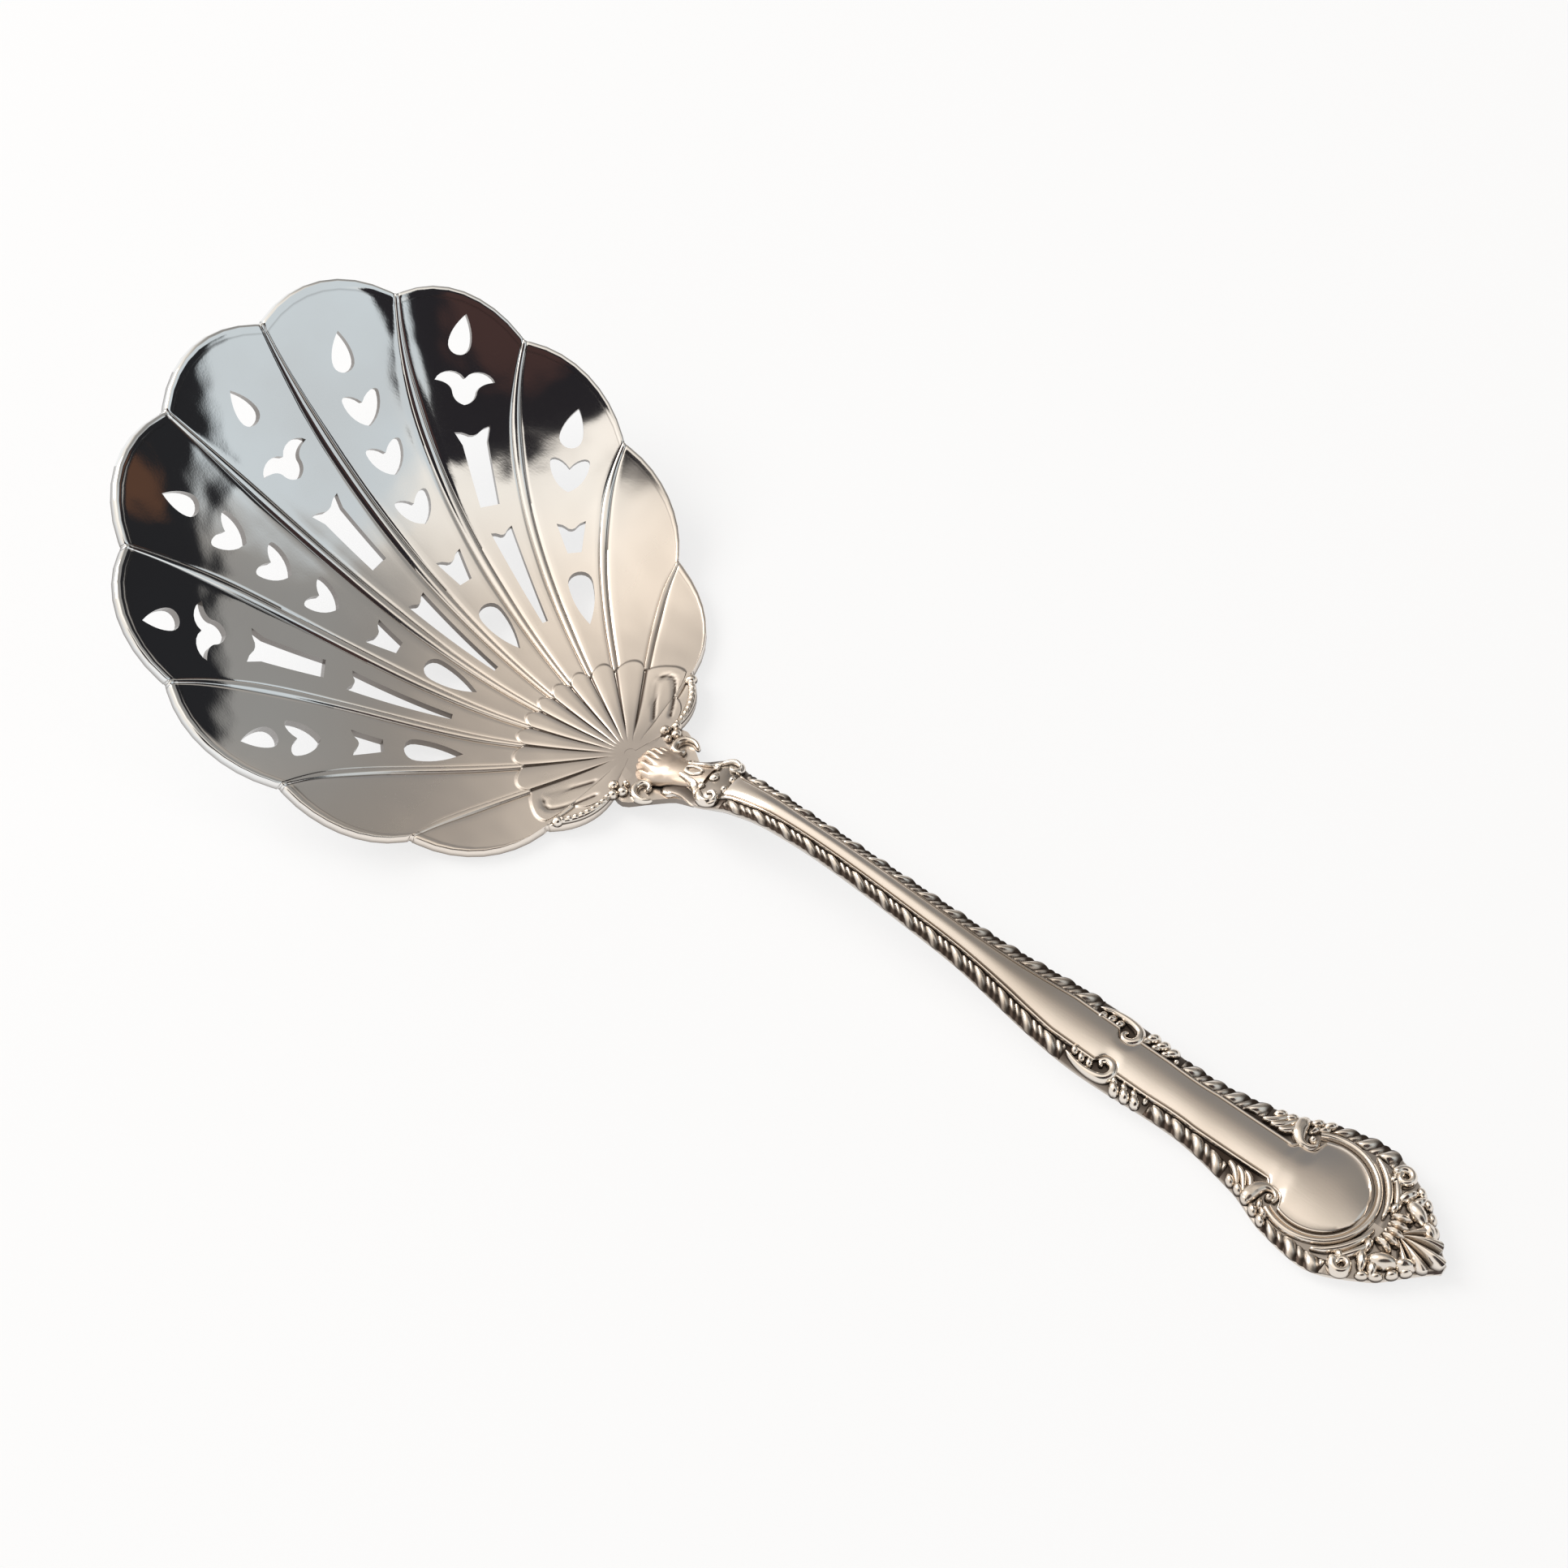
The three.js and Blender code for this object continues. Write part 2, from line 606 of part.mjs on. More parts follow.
// Acanthus leaf on the shoulder: three blades from one root and a bead.
function shoulderLeaf() {
  const rootX = shoulderX - 4.6;
  const rootY = fieldHalfWidth(rootX) + seatGap + 0.9;
  const swell = (share) => Math.sin(Math.PI * (0.2 + 0.72 * share));
  const blade = (points) => strip(points, 0.85, mountHeight, swell);
  const edge = (x) => handleHalfWidth(x) - 0.75;
  const tip = shoulderX - 1.6;
  const blades = [
    blade([[shoulderStart + 0.1, rootY - 0.1], [rootX, rootY + 0.1], [tip - 1.6, edge(tip - 1.6)]]),
    blade([[rootX - 0.6, rootY], [tip - 1.2, edge(tip) - 1], [tip + 1.4, edge(tip + 1.4)]]),
    blade([[rootX - 0.4, rootY], [shoulderX - 2, shoulderY + 0.35], [shoulderX, shoulderY + 1]]),
  ];
  const root = bead(rootX - 0.2, rootY, 1.6, 0.9, mountHeight);
  const pearl = bead(shoulderX, shoulderY - 0.2, 0.95, 0.95, 1.1 * mountHeight);
  return laid(join([root, ...blades, pearl]), onLedge);
}

// Double thread round the panel, open towards the stem.
function panelThread() {
  const half = threadWidth / 2;
  const profile = [[-1, 0], [1, 0], [1, 0.6], [0.5, 1], [0, 0.55], [-0.5, 1], [-1, 0.6]];
  return laid(loft(stations(-116, 116, 30).map((degrees) => {
    const bearing = THREE.MathUtils.degToRad(degrees);
    return profile.map(([offset, rise]) => {
      const radius = threadRadius + offset * half;
      return [panelX + radius * Math.cos(bearing), radius * Math.sin(bearing), rise * threadHeight];
    });
  })), onLedge);
}

function endScroll() {
  const x = endX + 6.7;
  const y = handleHalfWidth(x) - endScrollInset;
  const radius = 0.52 * endScrollInset;
  const tailX = finialX + 1.5;
  const tail = [[tailX, handleHalfWidth(tailX) - 0.55], [x + 1.4, handleHalfWidth(x + 1.4) - 0.6]];
  const spiral = curl(x, y, -radius, -90, -290, 8);
  const swell = (share) => 0.75 + 0.25 * Math.sin(Math.PI * share);
  const strand = strip([...tail, ...spiral], scrollHalfWidth, mountHeight, swell);
  return laid(join([strand, bead(x, y, 0.6, 0.6, 0.9 * mountHeight)]), onLedge);
}

// Shell at the tip: rays fan out from the panel to the handle's outline.
function shellFinial() {
  const raySteps = 4;
  const rimReach = (bearing) => {
    let reach = 1;
    while (handleHalfWidth(finialX + reach * Math.cos(bearing)) > reach * Math.abs(Math.sin(bearing))
      && finialX + reach * Math.cos(bearing) < handleReach - 0.4) reach += 0.05;
    return reach;
  };
  return laid(plate(finialRays * raySteps, 3, (u, v, face) => {
    const bearing = THREE.MathUtils.degToRad(finialHalfAngle * (2 * u - 1));
    const ray = Math.abs(Math.sin(Math.PI * u * finialRays));
    const reach = 0.9 + (rimReach(bearing) * (0.93 + 0.05 * ray) - 0.9) * v;
    const rise = 0.45 + (0.3 + 0.65 * Math.sin(Math.PI * (0.15 + 0.7 * v))) * (0.45 + 0.55 * ray);
    return [finialX + reach * Math.cos(bearing), reach * Math.sin(bearing), face * rise * mountHeight];
  }), onLedge);
}

// Fluted tongue that laps from the stem on to the bowl's heel.
const tongueEnd = collarX - 1.9;
const tongueSpread = smooth([
  [tongueFront, 0.86 * tongueHalfWidth], [noseX - 2, tongueHalfWidth],
  [noseX + 2, 0.66 * tongueHalfWidth], [tongueEnd, 0.62 * tongueHalfWidth],
]);
const tongueSeat = (x) => (x < noseX - 0.6 ? dish(x, 0) + fanRise : Math.max(dish(x, 0) + fanRise, ledge(x)));

function neckTongue() {
  const flutes = 5;
  return laid(plate(flutes * 3, 5, (u, v, face) => {
    const flute = Math.abs(Math.sin(Math.PI * u * flutes));
    const front = tongueFront + 1.5 * (2 * u - 1) ** 2 - 0.5 * flute;
    const x = front + (tongueEnd - front) * v;
    const dome = Math.sqrt(1 - 0.85 * (2 * u - 1) ** 2);
    const rise = tongueHeight * dome * (1 - 0.5 * v) + 0.2 * flute * (1 - v);
    return [x, tongueSpread(x) * (2 * u - 1), face * rise];
  }), tongueSeat);
}

// Side scroll of the neck with two beads, and the strand that edges the bowl's ear.
function neckScroll() {
  const onHeel = (x, y) => dish(x, y) + fanRise;
  const onEar = (x, y) => dish(x, y) + earSeat;
  const line = tabHalfWidth(noseX) - neckScrollHalfWidth;
  const swell = (share) => 0.62 + 0.38 * Math.sin(Math.PI * share);
  const strand = strip([
    [heelReach + 2.4, line + 0.9], [noseX - 0.5, line + 0.1],
    [collarX - 5.2, line - 0.1], [collarX - 3.3, line],
  ], neckScrollHalfWidth, mountHeight, swell);
  const firstBead = [heelReach + 1.9, line + 0.95];
  const lastBead = [heelReach + 0.3, line + 1.65];
  const beads = [firstBead, lastBead].map(([x, y]) => bead(x, y, 0.95, 0.95, mountHeight));
  const edge = [0.95, 0.65, 0.35, 0.05].map((share) => {
    const rim = rimPoint(scallops - 1, share);
    return rim.setLength(rim.length() - earStrandInset).toArray();
  });
  const earStrand = strip([lastBead, ...edge], earStrandHalfWidth, 0.75 * mountHeight, swell);
  return join([laid(join([strand, ...beads]), onHeel), laid(earStrand, onEar)]);
}

function neckCollar() {
  const eyes = [1, -1].map((side) => bead(collarX + 0.1, side * 2.75, 1.35, 1.25, mountHeight));
  const bars = [1, -1].map((side) => strip([
    [collarX - 0.6, side * 2.4], [collarX + 0.6, 0], [collarX + 2.2, side * -1.6],
  ], 0.6, 1.1 * mountHeight, () => 1));
  return laid(join([bead(collarX + 0.5, 0, 1.7, 1.5, 1.25 * mountHeight), ...eyes, ...bars]), onLedge);
}

// Drop under the bowl's heel, where the lap is backed.
function heelDrop() {
  const lower = (x, y, z) => dish(x, y) - 1.04 * bowlThickness - seatGap - z;
  const dropEnd = tabReach - dropMargin;
  const blank = bead((dropStart + dropEnd) / 2, 0, (dropEnd - dropStart) / 2, dropHalfWidth, dropHeight);
  return bend(blank, ({ x, y, z }) => [x, y, lower(x, y, z)]);
}

const server = new THREE.Group();

function addNode(name, geometry, material) {
  const mesh = new THREE.Mesh(geometry, material);
  mesh.name = name;
  server.add(mesh);
}

function addPair(name, geometry, material) {
  addNode(`${name}_right`, geometry, material);
  addNode(`${name}_left`, mirrored(geometry), material);
}

addNode('bowl', makeBowl(), bowlSilver);
addNode('handle', makeHandle(), stemSilver);
addNode('heel_drop', heelDrop(), bowlSilver);
addNode('neck_tongue', neckTongue(), stemSilver);
addNode('neck_collar', neckCollar(), mountSilver);
addPair('neck_scroll', neckScroll(), mountSilver);
addPair('stem_gadroon', stemGadroon(), mountSilver);
addPair('waist_scroll', waistScroll(), mountSilver);
addPair('upper_gadroon', upperGadroon(), mountSilver);
addPair('shoulder_leaf', shoulderLeaf(), mountSilver);
addNode('panel_thread', panelThread(), mountSilver);
addPair('end_gadroon', endGadroon(), mountSilver);
addPair('end_scroll', endScroll(), mountSilver);
addNode('shell_finial', shellFinial(), mountSilver);

// The group is centred along its length.
const front = rimPoint((scallops - 1) / 2, 0.5);
const bowlReach = bowlThickness * dishNormal(front.x, 0).x - front.x;
server.position.x = (bowlReach - handleReach) / 2;

export default server;
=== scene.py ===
import math

import bmesh
import bpy
from mathutils import Matrix, Vector, interpolate
from mathutils.bvhtree import BVHTree


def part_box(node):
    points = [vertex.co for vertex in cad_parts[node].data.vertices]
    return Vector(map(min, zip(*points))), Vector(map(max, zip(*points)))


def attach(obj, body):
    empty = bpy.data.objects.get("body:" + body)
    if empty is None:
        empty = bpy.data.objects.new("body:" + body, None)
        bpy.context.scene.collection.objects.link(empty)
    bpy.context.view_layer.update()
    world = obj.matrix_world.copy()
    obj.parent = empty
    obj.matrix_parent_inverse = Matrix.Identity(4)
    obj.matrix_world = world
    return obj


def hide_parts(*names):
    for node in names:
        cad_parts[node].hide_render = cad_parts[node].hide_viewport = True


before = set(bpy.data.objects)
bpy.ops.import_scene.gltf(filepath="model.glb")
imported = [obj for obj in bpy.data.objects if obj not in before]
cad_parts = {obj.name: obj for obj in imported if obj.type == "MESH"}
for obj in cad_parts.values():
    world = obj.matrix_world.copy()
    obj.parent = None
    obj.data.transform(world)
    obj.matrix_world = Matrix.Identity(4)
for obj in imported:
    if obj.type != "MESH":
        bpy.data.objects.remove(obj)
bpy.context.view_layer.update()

mm = 0.001
handleReach = 125.5  # hub of the bowl to the tip, in mm
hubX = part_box("handle")[1].x / mm - handleReach
print("frame loaded, hub at", round(hubX, 3), "mm")


# small maths

def clamp(value, low=0.0, high=1.0):
    return max(low, min(high, value))


def ease(value, start, end):
    t = clamp((value - start) / (end - start))
    return t * t * (3 - 2 * t)


def softCurve(points):  # y(x) through points in rising x, without overshoot
    slopes = [(b[1] - a[1]) / (b[0] - a[0]) for a, b in zip(points, points[1:])]
    tangents = [slopes[0]]
    for before, after in zip(slopes, slopes[1:]):
        product = before * after
        tangents.append(2 * product / (before + after) if product > 0 else 0.0)
    tangents.append(slopes[-1])

    def height(x):
        i = 0
        while i < len(slopes) - 1 and x > points[i + 1][0]:
            i += 1
        width = points[i + 1][0] - points[i][0]
        t = clamp((x - points[i][0]) / width)
        rise = points[i + 1][1] - points[i][1]
        turn = t * (1 - t) * width * (tangents[i] * (1 - t) - tangents[i + 1] * t)
        return points[i][1] + rise * t * t * (3 - 2 * t) + turn
    return height


def spread(start, end, count):
    return [start + (end - start) * i / count for i in range(count + 1)]


def runThrough(points, share):  # place and heading on a smooth path through plan points
    last = len(points) - 1
    along = clamp(share) * last
    i = min(int(along), last - 1)
    t = along - i
    a, b, c, d = (Vector(points[clamp(i + k, 0, last)]) for k in (-1, 0, 1, 2))
    at = 0.5 * (2 * b + (c - a) * t + (2 * a - 5 * b + 4 * c - d) * t ** 2
                + (3 * b - a - 3 * c + d) * t ** 3)
    ahead = 0.5 * ((c - a) + 2 * (2 * a - 5 * b + 4 * c - d) * t
                   + 3 * (3 * b - a - 3 * c + d) * t ** 2)
    return at, ahead.normalized()


# building blocks, all in mm round the hub

def newForm():
    bm = bmesh.new()
    bm.verts.layers.int.new("order")
    # each point's dark mark: tarnish in the hollows, and painted shade on side walls, slopes and steps
    bm.verts.layers.float.new("tarnishAndShade")
    return bm


def each(items):  # once each, in the order they come
    return list(dict.fromkeys(items))


def newVerts(geom):  # the vertices among an operator's results
    return [g for g in geom if isinstance(g, bmesh.types.BMVert)]


def ringLoft(bm, rings):  # a circle pulled on from ring to ring
    order = bm.verts.layers.int["order"]
    verts = bmesh.ops.create_circle(bm, segments=len(rings[0]), radius=1)["verts"]
    for k, v in enumerate(verts):
        v[order] = k
        v.co = rings[0][k]
    edges = each(e for v in verts for e in v.link_edges)
    ends = list(edges)
    made = list(verts)
    for ring in rings[1:]:
        geom = bmesh.ops.extrude_edge_only(bm, edges=edges)["geom"]
        verts = newVerts(geom)
        fresh = set(verts)
        for v in verts:
            v.co = ring[v[order]]
        edges = [g for g in geom if isinstance(g, bmesh.types.BMEdge) and set(g.verts) <= fresh]
        made += verts
    bmesh.ops.holes_fill(bm, edges=ends + edges, sides=0)
    return made


def gridSheet(bm, across, along, pointAt):  # a grid whose points are set by their column and row
    verts = bmesh.ops.create_grid(bm, x_segments=across, y_segments=along, size=0.5)["verts"]
    tarnishAndShade = bm.verts.layers.float["tarnishAndShade"]
    for v in verts:
        *spot, mark = pointAt(round((v.co.x + 0.5) * across), round((v.co.y + 0.5) * along))
        v.co = spot
        v[tarnishAndShade] = mark
    return verts


def backed(bm, verts, depth):  # gives a sheet its thickness straight down
    faces = each(f for v in verts for f in v.link_faces)
    geom = bmesh.ops.extrude_face_region(bm, geom=faces)["geom"]
    lower = newVerts(geom)
    bmesh.ops.translate(bm, verts=lower, vec=(0, 0, -depth))
    return verts + lower


bedding = {"below": -0.06, "darkTo": 0.12, "clearFrom": 0.72}  # a mount's foot, and its dark edge by height


def seated(bm, verts):  # fills a raised sheet down to the surface it lies on
    lower = backed(bm, verts, 0)[len(verts):]
    for v in lower:
        v.co.z = bedding["below"]
    return verts + lower


def laidOn(bm, verts, seat, height):  # flat ornament on to the surface that carries it
    tarnishAndShade = bm.verts.layers.float["tarnishAndShade"]
    for v in verts:
        clear = ease(v.co.z, bedding["darkTo"] * height, bedding["clearFrom"] * height)
        v[tarnishAndShade] = max(v[tarnishAndShade], 1 - clear)
        v.co.z += seat(v.co.x, v.co.y)


strands = {"tip": 0.15, "tipFrom": -0.01, "tipTo": 0.05, "lowest": 0.35}  # rounding of the ends, in shares
halfRound = [(-1, 0), (-0.98, 0.3), (-0.86, 0.58), (-0.62, 0.82), (-0.3, 0.96), (0, 1)]
halfRound += [(-a, b) for a, b in reversed(halfRound[:-1])]


def strand(bm, points, halfWidth, height, taper, steps=5):  # half-round wire along a path
    rings = []
    for share in spread(0, 1, steps * (len(points) - 1)):
        at, ahead = runThrough(points, share)
        rounding = math.sqrt(ease(min(share, 1 - share), strands["tipFrom"], strands["tipTo"]))
        size = taper(share) * (strands["tip"] + (1 - strands["tip"]) * rounding)
        half = halfWidth * size
        rise = height * (strands["lowest"] + (1 - strands["lowest"]) * size)
        rings.append([(at.x - ahead.y * a * half, at.y + ahead.x * a * half, b * rise)
                      for a, b in halfRound])
    return ringLoft(bm, rings)


def swelling(ends, power=1):  # taper of a strand that is fullest in the middle
    return lambda share: ends + (1 - ends) * math.sin(math.pi * share) ** power


def bean(bm, x, y, heading, length, width, height, taper=0.0, sides=14):  # drop, fuller at its far end
    verts = bmesh.ops.create_uvsphere(bm, u_segments=sides, v_segments=9, radius=1)["verts"]
    turn = math.radians(heading)
    for v in verts:
        side, up, run = v.co
        a = run * length
        b = side * width * (1 + taper * run)
        z = max(up, -0.1) * height * (1 + 0.5 * taper * run)
        v.co = (x + a * math.cos(turn) - b * math.sin(turn),
                y + a * math.sin(turn) + b * math.cos(turn), z)
    return verts


def curl(x, y, radius, start, turn, steps, close=0.62):  # points of an inward scroll
    points = []
    for share in spread(0, 1, steps):
        bearing = math.radians(start - turn * share)
        reach = radius * (1 - close * share)
        points.append((x + reach * math.cos(bearing), y + reach * math.sin(bearing)))
    return points


def mirrorForm(bm):  # the matching piece on the other side
    bmesh.ops.scale(bm, vec=(1, -1, 1), verts=bm.verts)
    bmesh.ops.reverse_faces(bm, faces=bm.faces)


def plainMesh(bm, name):
    mesh = bpy.data.meshes.new(name)
    bm.to_mesh(mesh)
    bm.free()
    return mesh


def linked(name, data):
    piece = bpy.data.objects.new(name, data)
    bpy.context.scene.collection.objects.link(piece)
    return piece


weldGap = 0.0005  # in mm


def meshFrom(bm, name, sharpAngle):
    bmesh.ops.remove_doubles(bm, verts=bm.verts, dist=weldGap)
    bmesh.ops.recalc_face_normals(bm, faces=bm.faces)
    bmesh.ops.translate(bm, verts=bm.verts, vec=(hubX, 0, 0))
    bmesh.ops.scale(bm, vec=(mm, mm, mm), verts=bm.verts)
    mesh = plainMesh(bm, name)
    mesh.shade_smooth()
    mesh.set_sharp_from_angle(angle=math.radians(sharpAngle))
    return mesh


def place(mesh, material, node):  # the piece is named as its mesh
    piece = linked(mesh.name, mesh)
    mesh.materials.clear()
    mesh.materials.append(material)
    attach(piece, "root")
    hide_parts(node)
    return piece


# shader maths

class Wire:
    def __init__(self, tree, socket=None):
        self.tree = tree
        self.socket = socket

    def add(self, kind, settings=None, inputs=None, out=0):
        node = self.tree.nodes.new(kind)
        for key, value in (settings or {}).items():
            setattr(node, key, value)
        for key, value in (inputs or {}).items():
            if isinstance(value, Wire):
                self.tree.links.new(value.socket, node.inputs[key])
            else:
                node.inputs[key].default_value = value
        return Wire(self.tree, node.outputs[out] if len(node.outputs) else None)

    def maths(self, operation, *values):
        return self.add("ShaderNodeMath", {"operation": operation}, dict(enumerate(values)))

    def __add__(self, other):
        return self.maths("ADD", self, other)

    def __sub__(self, other):
        return self.maths("SUBTRACT", self, other)

    def __rsub__(self, other):
        return self.maths("SUBTRACT", other, self)

    def __mul__(self, other):
        return self.maths("MULTIPLY", self, other)

    __radd__ = __add__
    __rmul__ = __mul__

    def blend(self, low, high):  # mix of two colours by this value
        return self.add("ShaderNodeMix", {"data_type": "RGBA"}, {0: self, 6: low, 7: high}, out=2)

    def remap(self, low, high, toLow=0.0, toHigh=1.0):
        return self.add("ShaderNodeMapRange", {"interpolation_type": "SMOOTHSTEP"},
                        {0: self, 1: low, 2: high, 3: toLow, 4: toHigh})


def startMaterial(name):
    material = bpy.data.materials.new(name)
    material.use_nodes = True
    material.node_tree.nodes.clear()
    return material, Wire(material.node_tree)


polish = {"colour": (0.87, 0.88, 0.88, 1), "haze": (0.81, 0.80, 0.79, 1),
          "tarnishAndShadeTone": (0.09, 0.068, 0.055, 1), "roughLow": 0.03, "roughHigh": 0.075, "wave": 0.6}
# rubbed satin round the hub; its darker core also holds the tongue's shadow, painted in
hubWearAndShadow = {"colour": (0.84, 0.765, 0.69, 1), "rubbedAndShadedCore": (0.60, 0.545, 0.50, 1), "coreReach": (0.003, 0.015),
           "coreRagged": 0.006, "rough": 0.24, "reach": (0.018, 0.05), "heel": (-0.036, -0.012),
           "height": 0.002}
satin = {"colour": (0.80, 0.74, 0.68, 1), "haze": (0.70, 0.63, 0.56, 1),
         "tarnishAndShadeTone": (0.055, 0.04, 0.032, 1), "roughLow": 0.15, "roughHigh": 0.25, "wave": 0.3}
struck = {"colour": (0.85, 0.79, 0.72, 1), "haze": (0.70, 0.62, 0.54, 1),
          "tarnishAndShadeTone": (0.07, 0.052, 0.042, 1), "roughLow": 0.14, "roughHigh": 0.28, "wave": 0.2}
# a rougher satin for the tongue, its colour darker than the stem's: painted shade
shadedHeelSatin = {"colour": (0.61, 0.52, 0.44, 1), "haze": (0.53, 0.44, 0.37, 1),
             "tarnishAndShadeTone": (0.06, 0.044, 0.034, 1), "roughLow": 0.34, "roughHigh": 0.46, "wave": 0.5}
surface = {
    "cloudScale": 45.0, "swellScale": 95.0, "rubScale": 1.6, "rubStretch": (0.16, 1.0, 1.0), "rubShare": 0.7,
    "tarnishAndShadeLeast": 0.72, "tarnishAndShadeCloud": 0.5, "tarnishAndShadeRange": (0.12, 0.95), "tarnishAndShadeRough": 0.25,
    "hazeRange": (0.3, 0.75), "roughRange": (0.25, 0.8), "specks": (0.66, 0.8, 0.0, 0.06),
    "scratchSize": 0.00004, "swellSize": 0.0004,
}


def silver(name, look, grain, scratchDepth, hubLook=None):
    material, wire = startMaterial(name)
    spot = wire.add("ShaderNodeTexCoord", out=3)

    def noise(at, scale, detail):
        return wire.add("ShaderNodeTexNoise", None, {"Vector": at, "Scale": scale, "Detail": detail})
    cloud = noise(spot, surface["cloudScale"], 4.0)
    fine = noise(spot, grain, 3.0)
    drawn = wire.add("ShaderNodeMapping", None, {0: spot, "Scale": surface["rubStretch"]})
    rub = noise(drawn, surface["rubScale"] * grain, 2.0)
    # the dark mark pulls the colour to the tarnish tone: tarnish in hollows, painted shade on walls and slopes
    tarnishAndShade = wire.add("ShaderNodeAttribute", {"attribute_name": "tarnishAndShade"}, out=2)
    patchy = surface["tarnishAndShadeLeast"] + surface["tarnishAndShadeCloud"] * cloud
    dark = (tarnishAndShade * patchy).remap(*surface["tarnishAndShadeRange"])
    body = cloud.remap(*surface["hazeRange"]).blend(look["colour"], look["haze"])
    rough = cloud.remap(*surface["roughRange"], look["roughLow"], look["roughHigh"])
    rough = rough + surface["tarnishAndShadeRough"] * dark
    if hubLook:
        hub = (hubX * mm, 0, hubLook["height"])
        away = wire.add("ShaderNodeVectorMath", {"operation": "DISTANCE"}, {0: spot, 1: hub}, out=1)
        along = wire.add("ShaderNodeSeparateXYZ", None, {0: spot})
        heel = along.remap(*(hubX * mm + at for at in hubLook["heel"]))
        worn = heel.maths("MAXIMUM", heel, 1 - away.remap(*hubLook["reach"]))
        ragged = away + cloud * hubLook["coreRagged"]
        rubbedAndShadedCore = 1 - ragged.remap(*hubLook["coreReach"])  # darkest where the lap begins: rubbed satin, with the tongue's shadow painted in
        body = worn.blend(body, rubbedAndShadedCore.blend(hubLook["colour"], hubLook["rubbedAndShadedCore"]))
        rough = rough + hubLook["rough"] * worn
    colour = dark.blend(body, look["tarnishAndShadeTone"])
    scratches = rub * surface["rubShare"] + fine * (1 - surface["rubShare"])
    bump = wire.add("ShaderNodeBump", None, {
        "Strength": scratchDepth, "Distance": surface["scratchSize"], "Height": scratches})
    uneven = wire.add("ShaderNodeBump", None, {
        "Strength": look["wave"], "Distance": surface["swellSize"],
        "Height": noise(spot, surface["swellScale"], 1.5), "Normal": bump})
    rough = rough + fine.remap(*surface["specks"])
    shader = wire.add("ShaderNodeBsdfPrincipled", None, {
        "Base Color": colour, "Metallic": 1.0, "Roughness": rough, "Normal": uneven})
    wire.add("ShaderNodeOutputMaterial", None, {0: shader})
    return material


bowlSilver = silver("bowlSilver", polish, 2600.0, 0.05, hubWearAndShadow)
stemSilver = silver("stemSilver", satin, 3000.0, 0.12)
mountSilver = silver("mountSilver", struck, 3400.0, 0.14)
shadedHeelSilver = silver("shadedHeelSilver", shadedHeelSatin, 3000.0, 0.16)
print("silver finishes ready")


# shell bowl

bowl = {
    "thickness": 1.2, "length": 72.6, "halfWidth": 36.4, "taper": 0.155, "heel": 3.0, "sharpAngle": 32,
    "scallopRise": 1.9, "earRise": 1.2, "earEnd": 168,
    "scallopEnds": [13, 41.5, 69.5, 97.5, 122.5, 150.5],
    "restX": -13, "frontRadius": 51.7, "heelRadius": 100, "sideRadius": 80.65, "sideFade": (-32, 6),
    "fluteDepth": 0.1, "fluteFrom": 0.4, "fluteTo": 2.4,
    "ribGather": 0.68, "ribStraighten": 0.2, "ribShare": 0.275, "ribRise": 0.2,
    "hub": 0.8, "hubFade": (2, 6), "shortLobe": 6,
    "fanRadius": 15.5, "fanShare": 0.78, "fanBow": 0.1, "fanRise": 0.14, "fanFlank": 2.9, "fanEdgeShadow": 0.55,
    "rimZone": (0.8, 1), "rimSqueeze": 0.6, "rimSink": 0.5, "rimDrop": 0.14, "rimRound": 0.3,
    "rimLineIn": 1.05, "rimLineWidth": 0.16, "rimLineMark": 0.5,
    "threadRise": 0.07, "threadIn": 0.55, "threadWidth": 0.26, "petalGroove": 0.12,
    "nearRib": [0, 0.2, 0.38, 0.54, 0.72, 0.92, 1.3, 2.0],
    "ribProfile": [1, 0.98, 0.86, 0.5, -0.7, -0.2, 0, 0],
    "petalProfile": [-1, -0.62, -0.25, -0.08, 0, 0, 0, 0],
    "petalMark": [1, 1, 0.9, 0.6, 0.25, 0, 0, 0],
    "fillColumns": 4, "fanRows": 34, "fluteRows": 44,
    "edgeRows": [-0.6, -0.3, -0.08, 0.12, 0.35, 0.7, 1.2],
    "rimRows": [1.3, 1.0, 0.8, 0.6, 0.45, 0.3, 0.12, 0.0],
    "tabReach": 12.5, "tabSink": 0.031, "tabThinner": 0.07, "tabRows": 16, "tabColumns": 10,
    "tabWidth": [(-0.8, 4), (4, 7), (7, 5.0), (8.6, 3.8), (10, 2.9), (12.5, 2.4)],
    "earLoop": [(-1.1, 6.4), (-2.9, 9), (-4.5, 11.8), (-4.1, 13.1), (-2.8, 13), (-1.2, 11), (0.5, 8)],
    "loopFrom": -6, "loopSide": 5, "lineWidth": 0.26, "lineDepth": 0.16,
    "sheetGap": 0.02, "sheetTurn": 0.8, "sawnTilt": 0.7, "sawnWallShade": 0.72, "backTilt": -0.3, "backMark": 0.42,
}
rightEnds = bowl["scallopEnds"] + [bowl["earEnd"]]
scallopRoots = [-angle for angle in reversed(rightEnds)] + rightEnds
lobes = len(scallopRoots) - 1
frontLobe = (lobes - 1) // 2


def dish(x, y):
    run = x - bowl["restX"]
    radius = bowl["frontRadius"] if run < 0 else bowl["heelRadius"]
    side = (1 - ease(x, *bowl["sideFade"])) * y * y / (2 * bowl["sideRadius"])
    return bowl["thickness"] + run * run / (2 * radius) + side


def dishNormal(x, y):
    step = 0.05
    slopeX = (dish(x + step, y) - dish(x - step, y)) / (2 * step)
    slopeY = (dish(x, y + step) - dish(x, y - step)) / (2 * step)
    return Vector((-slopeX, -slopeY, 1)).normalized()


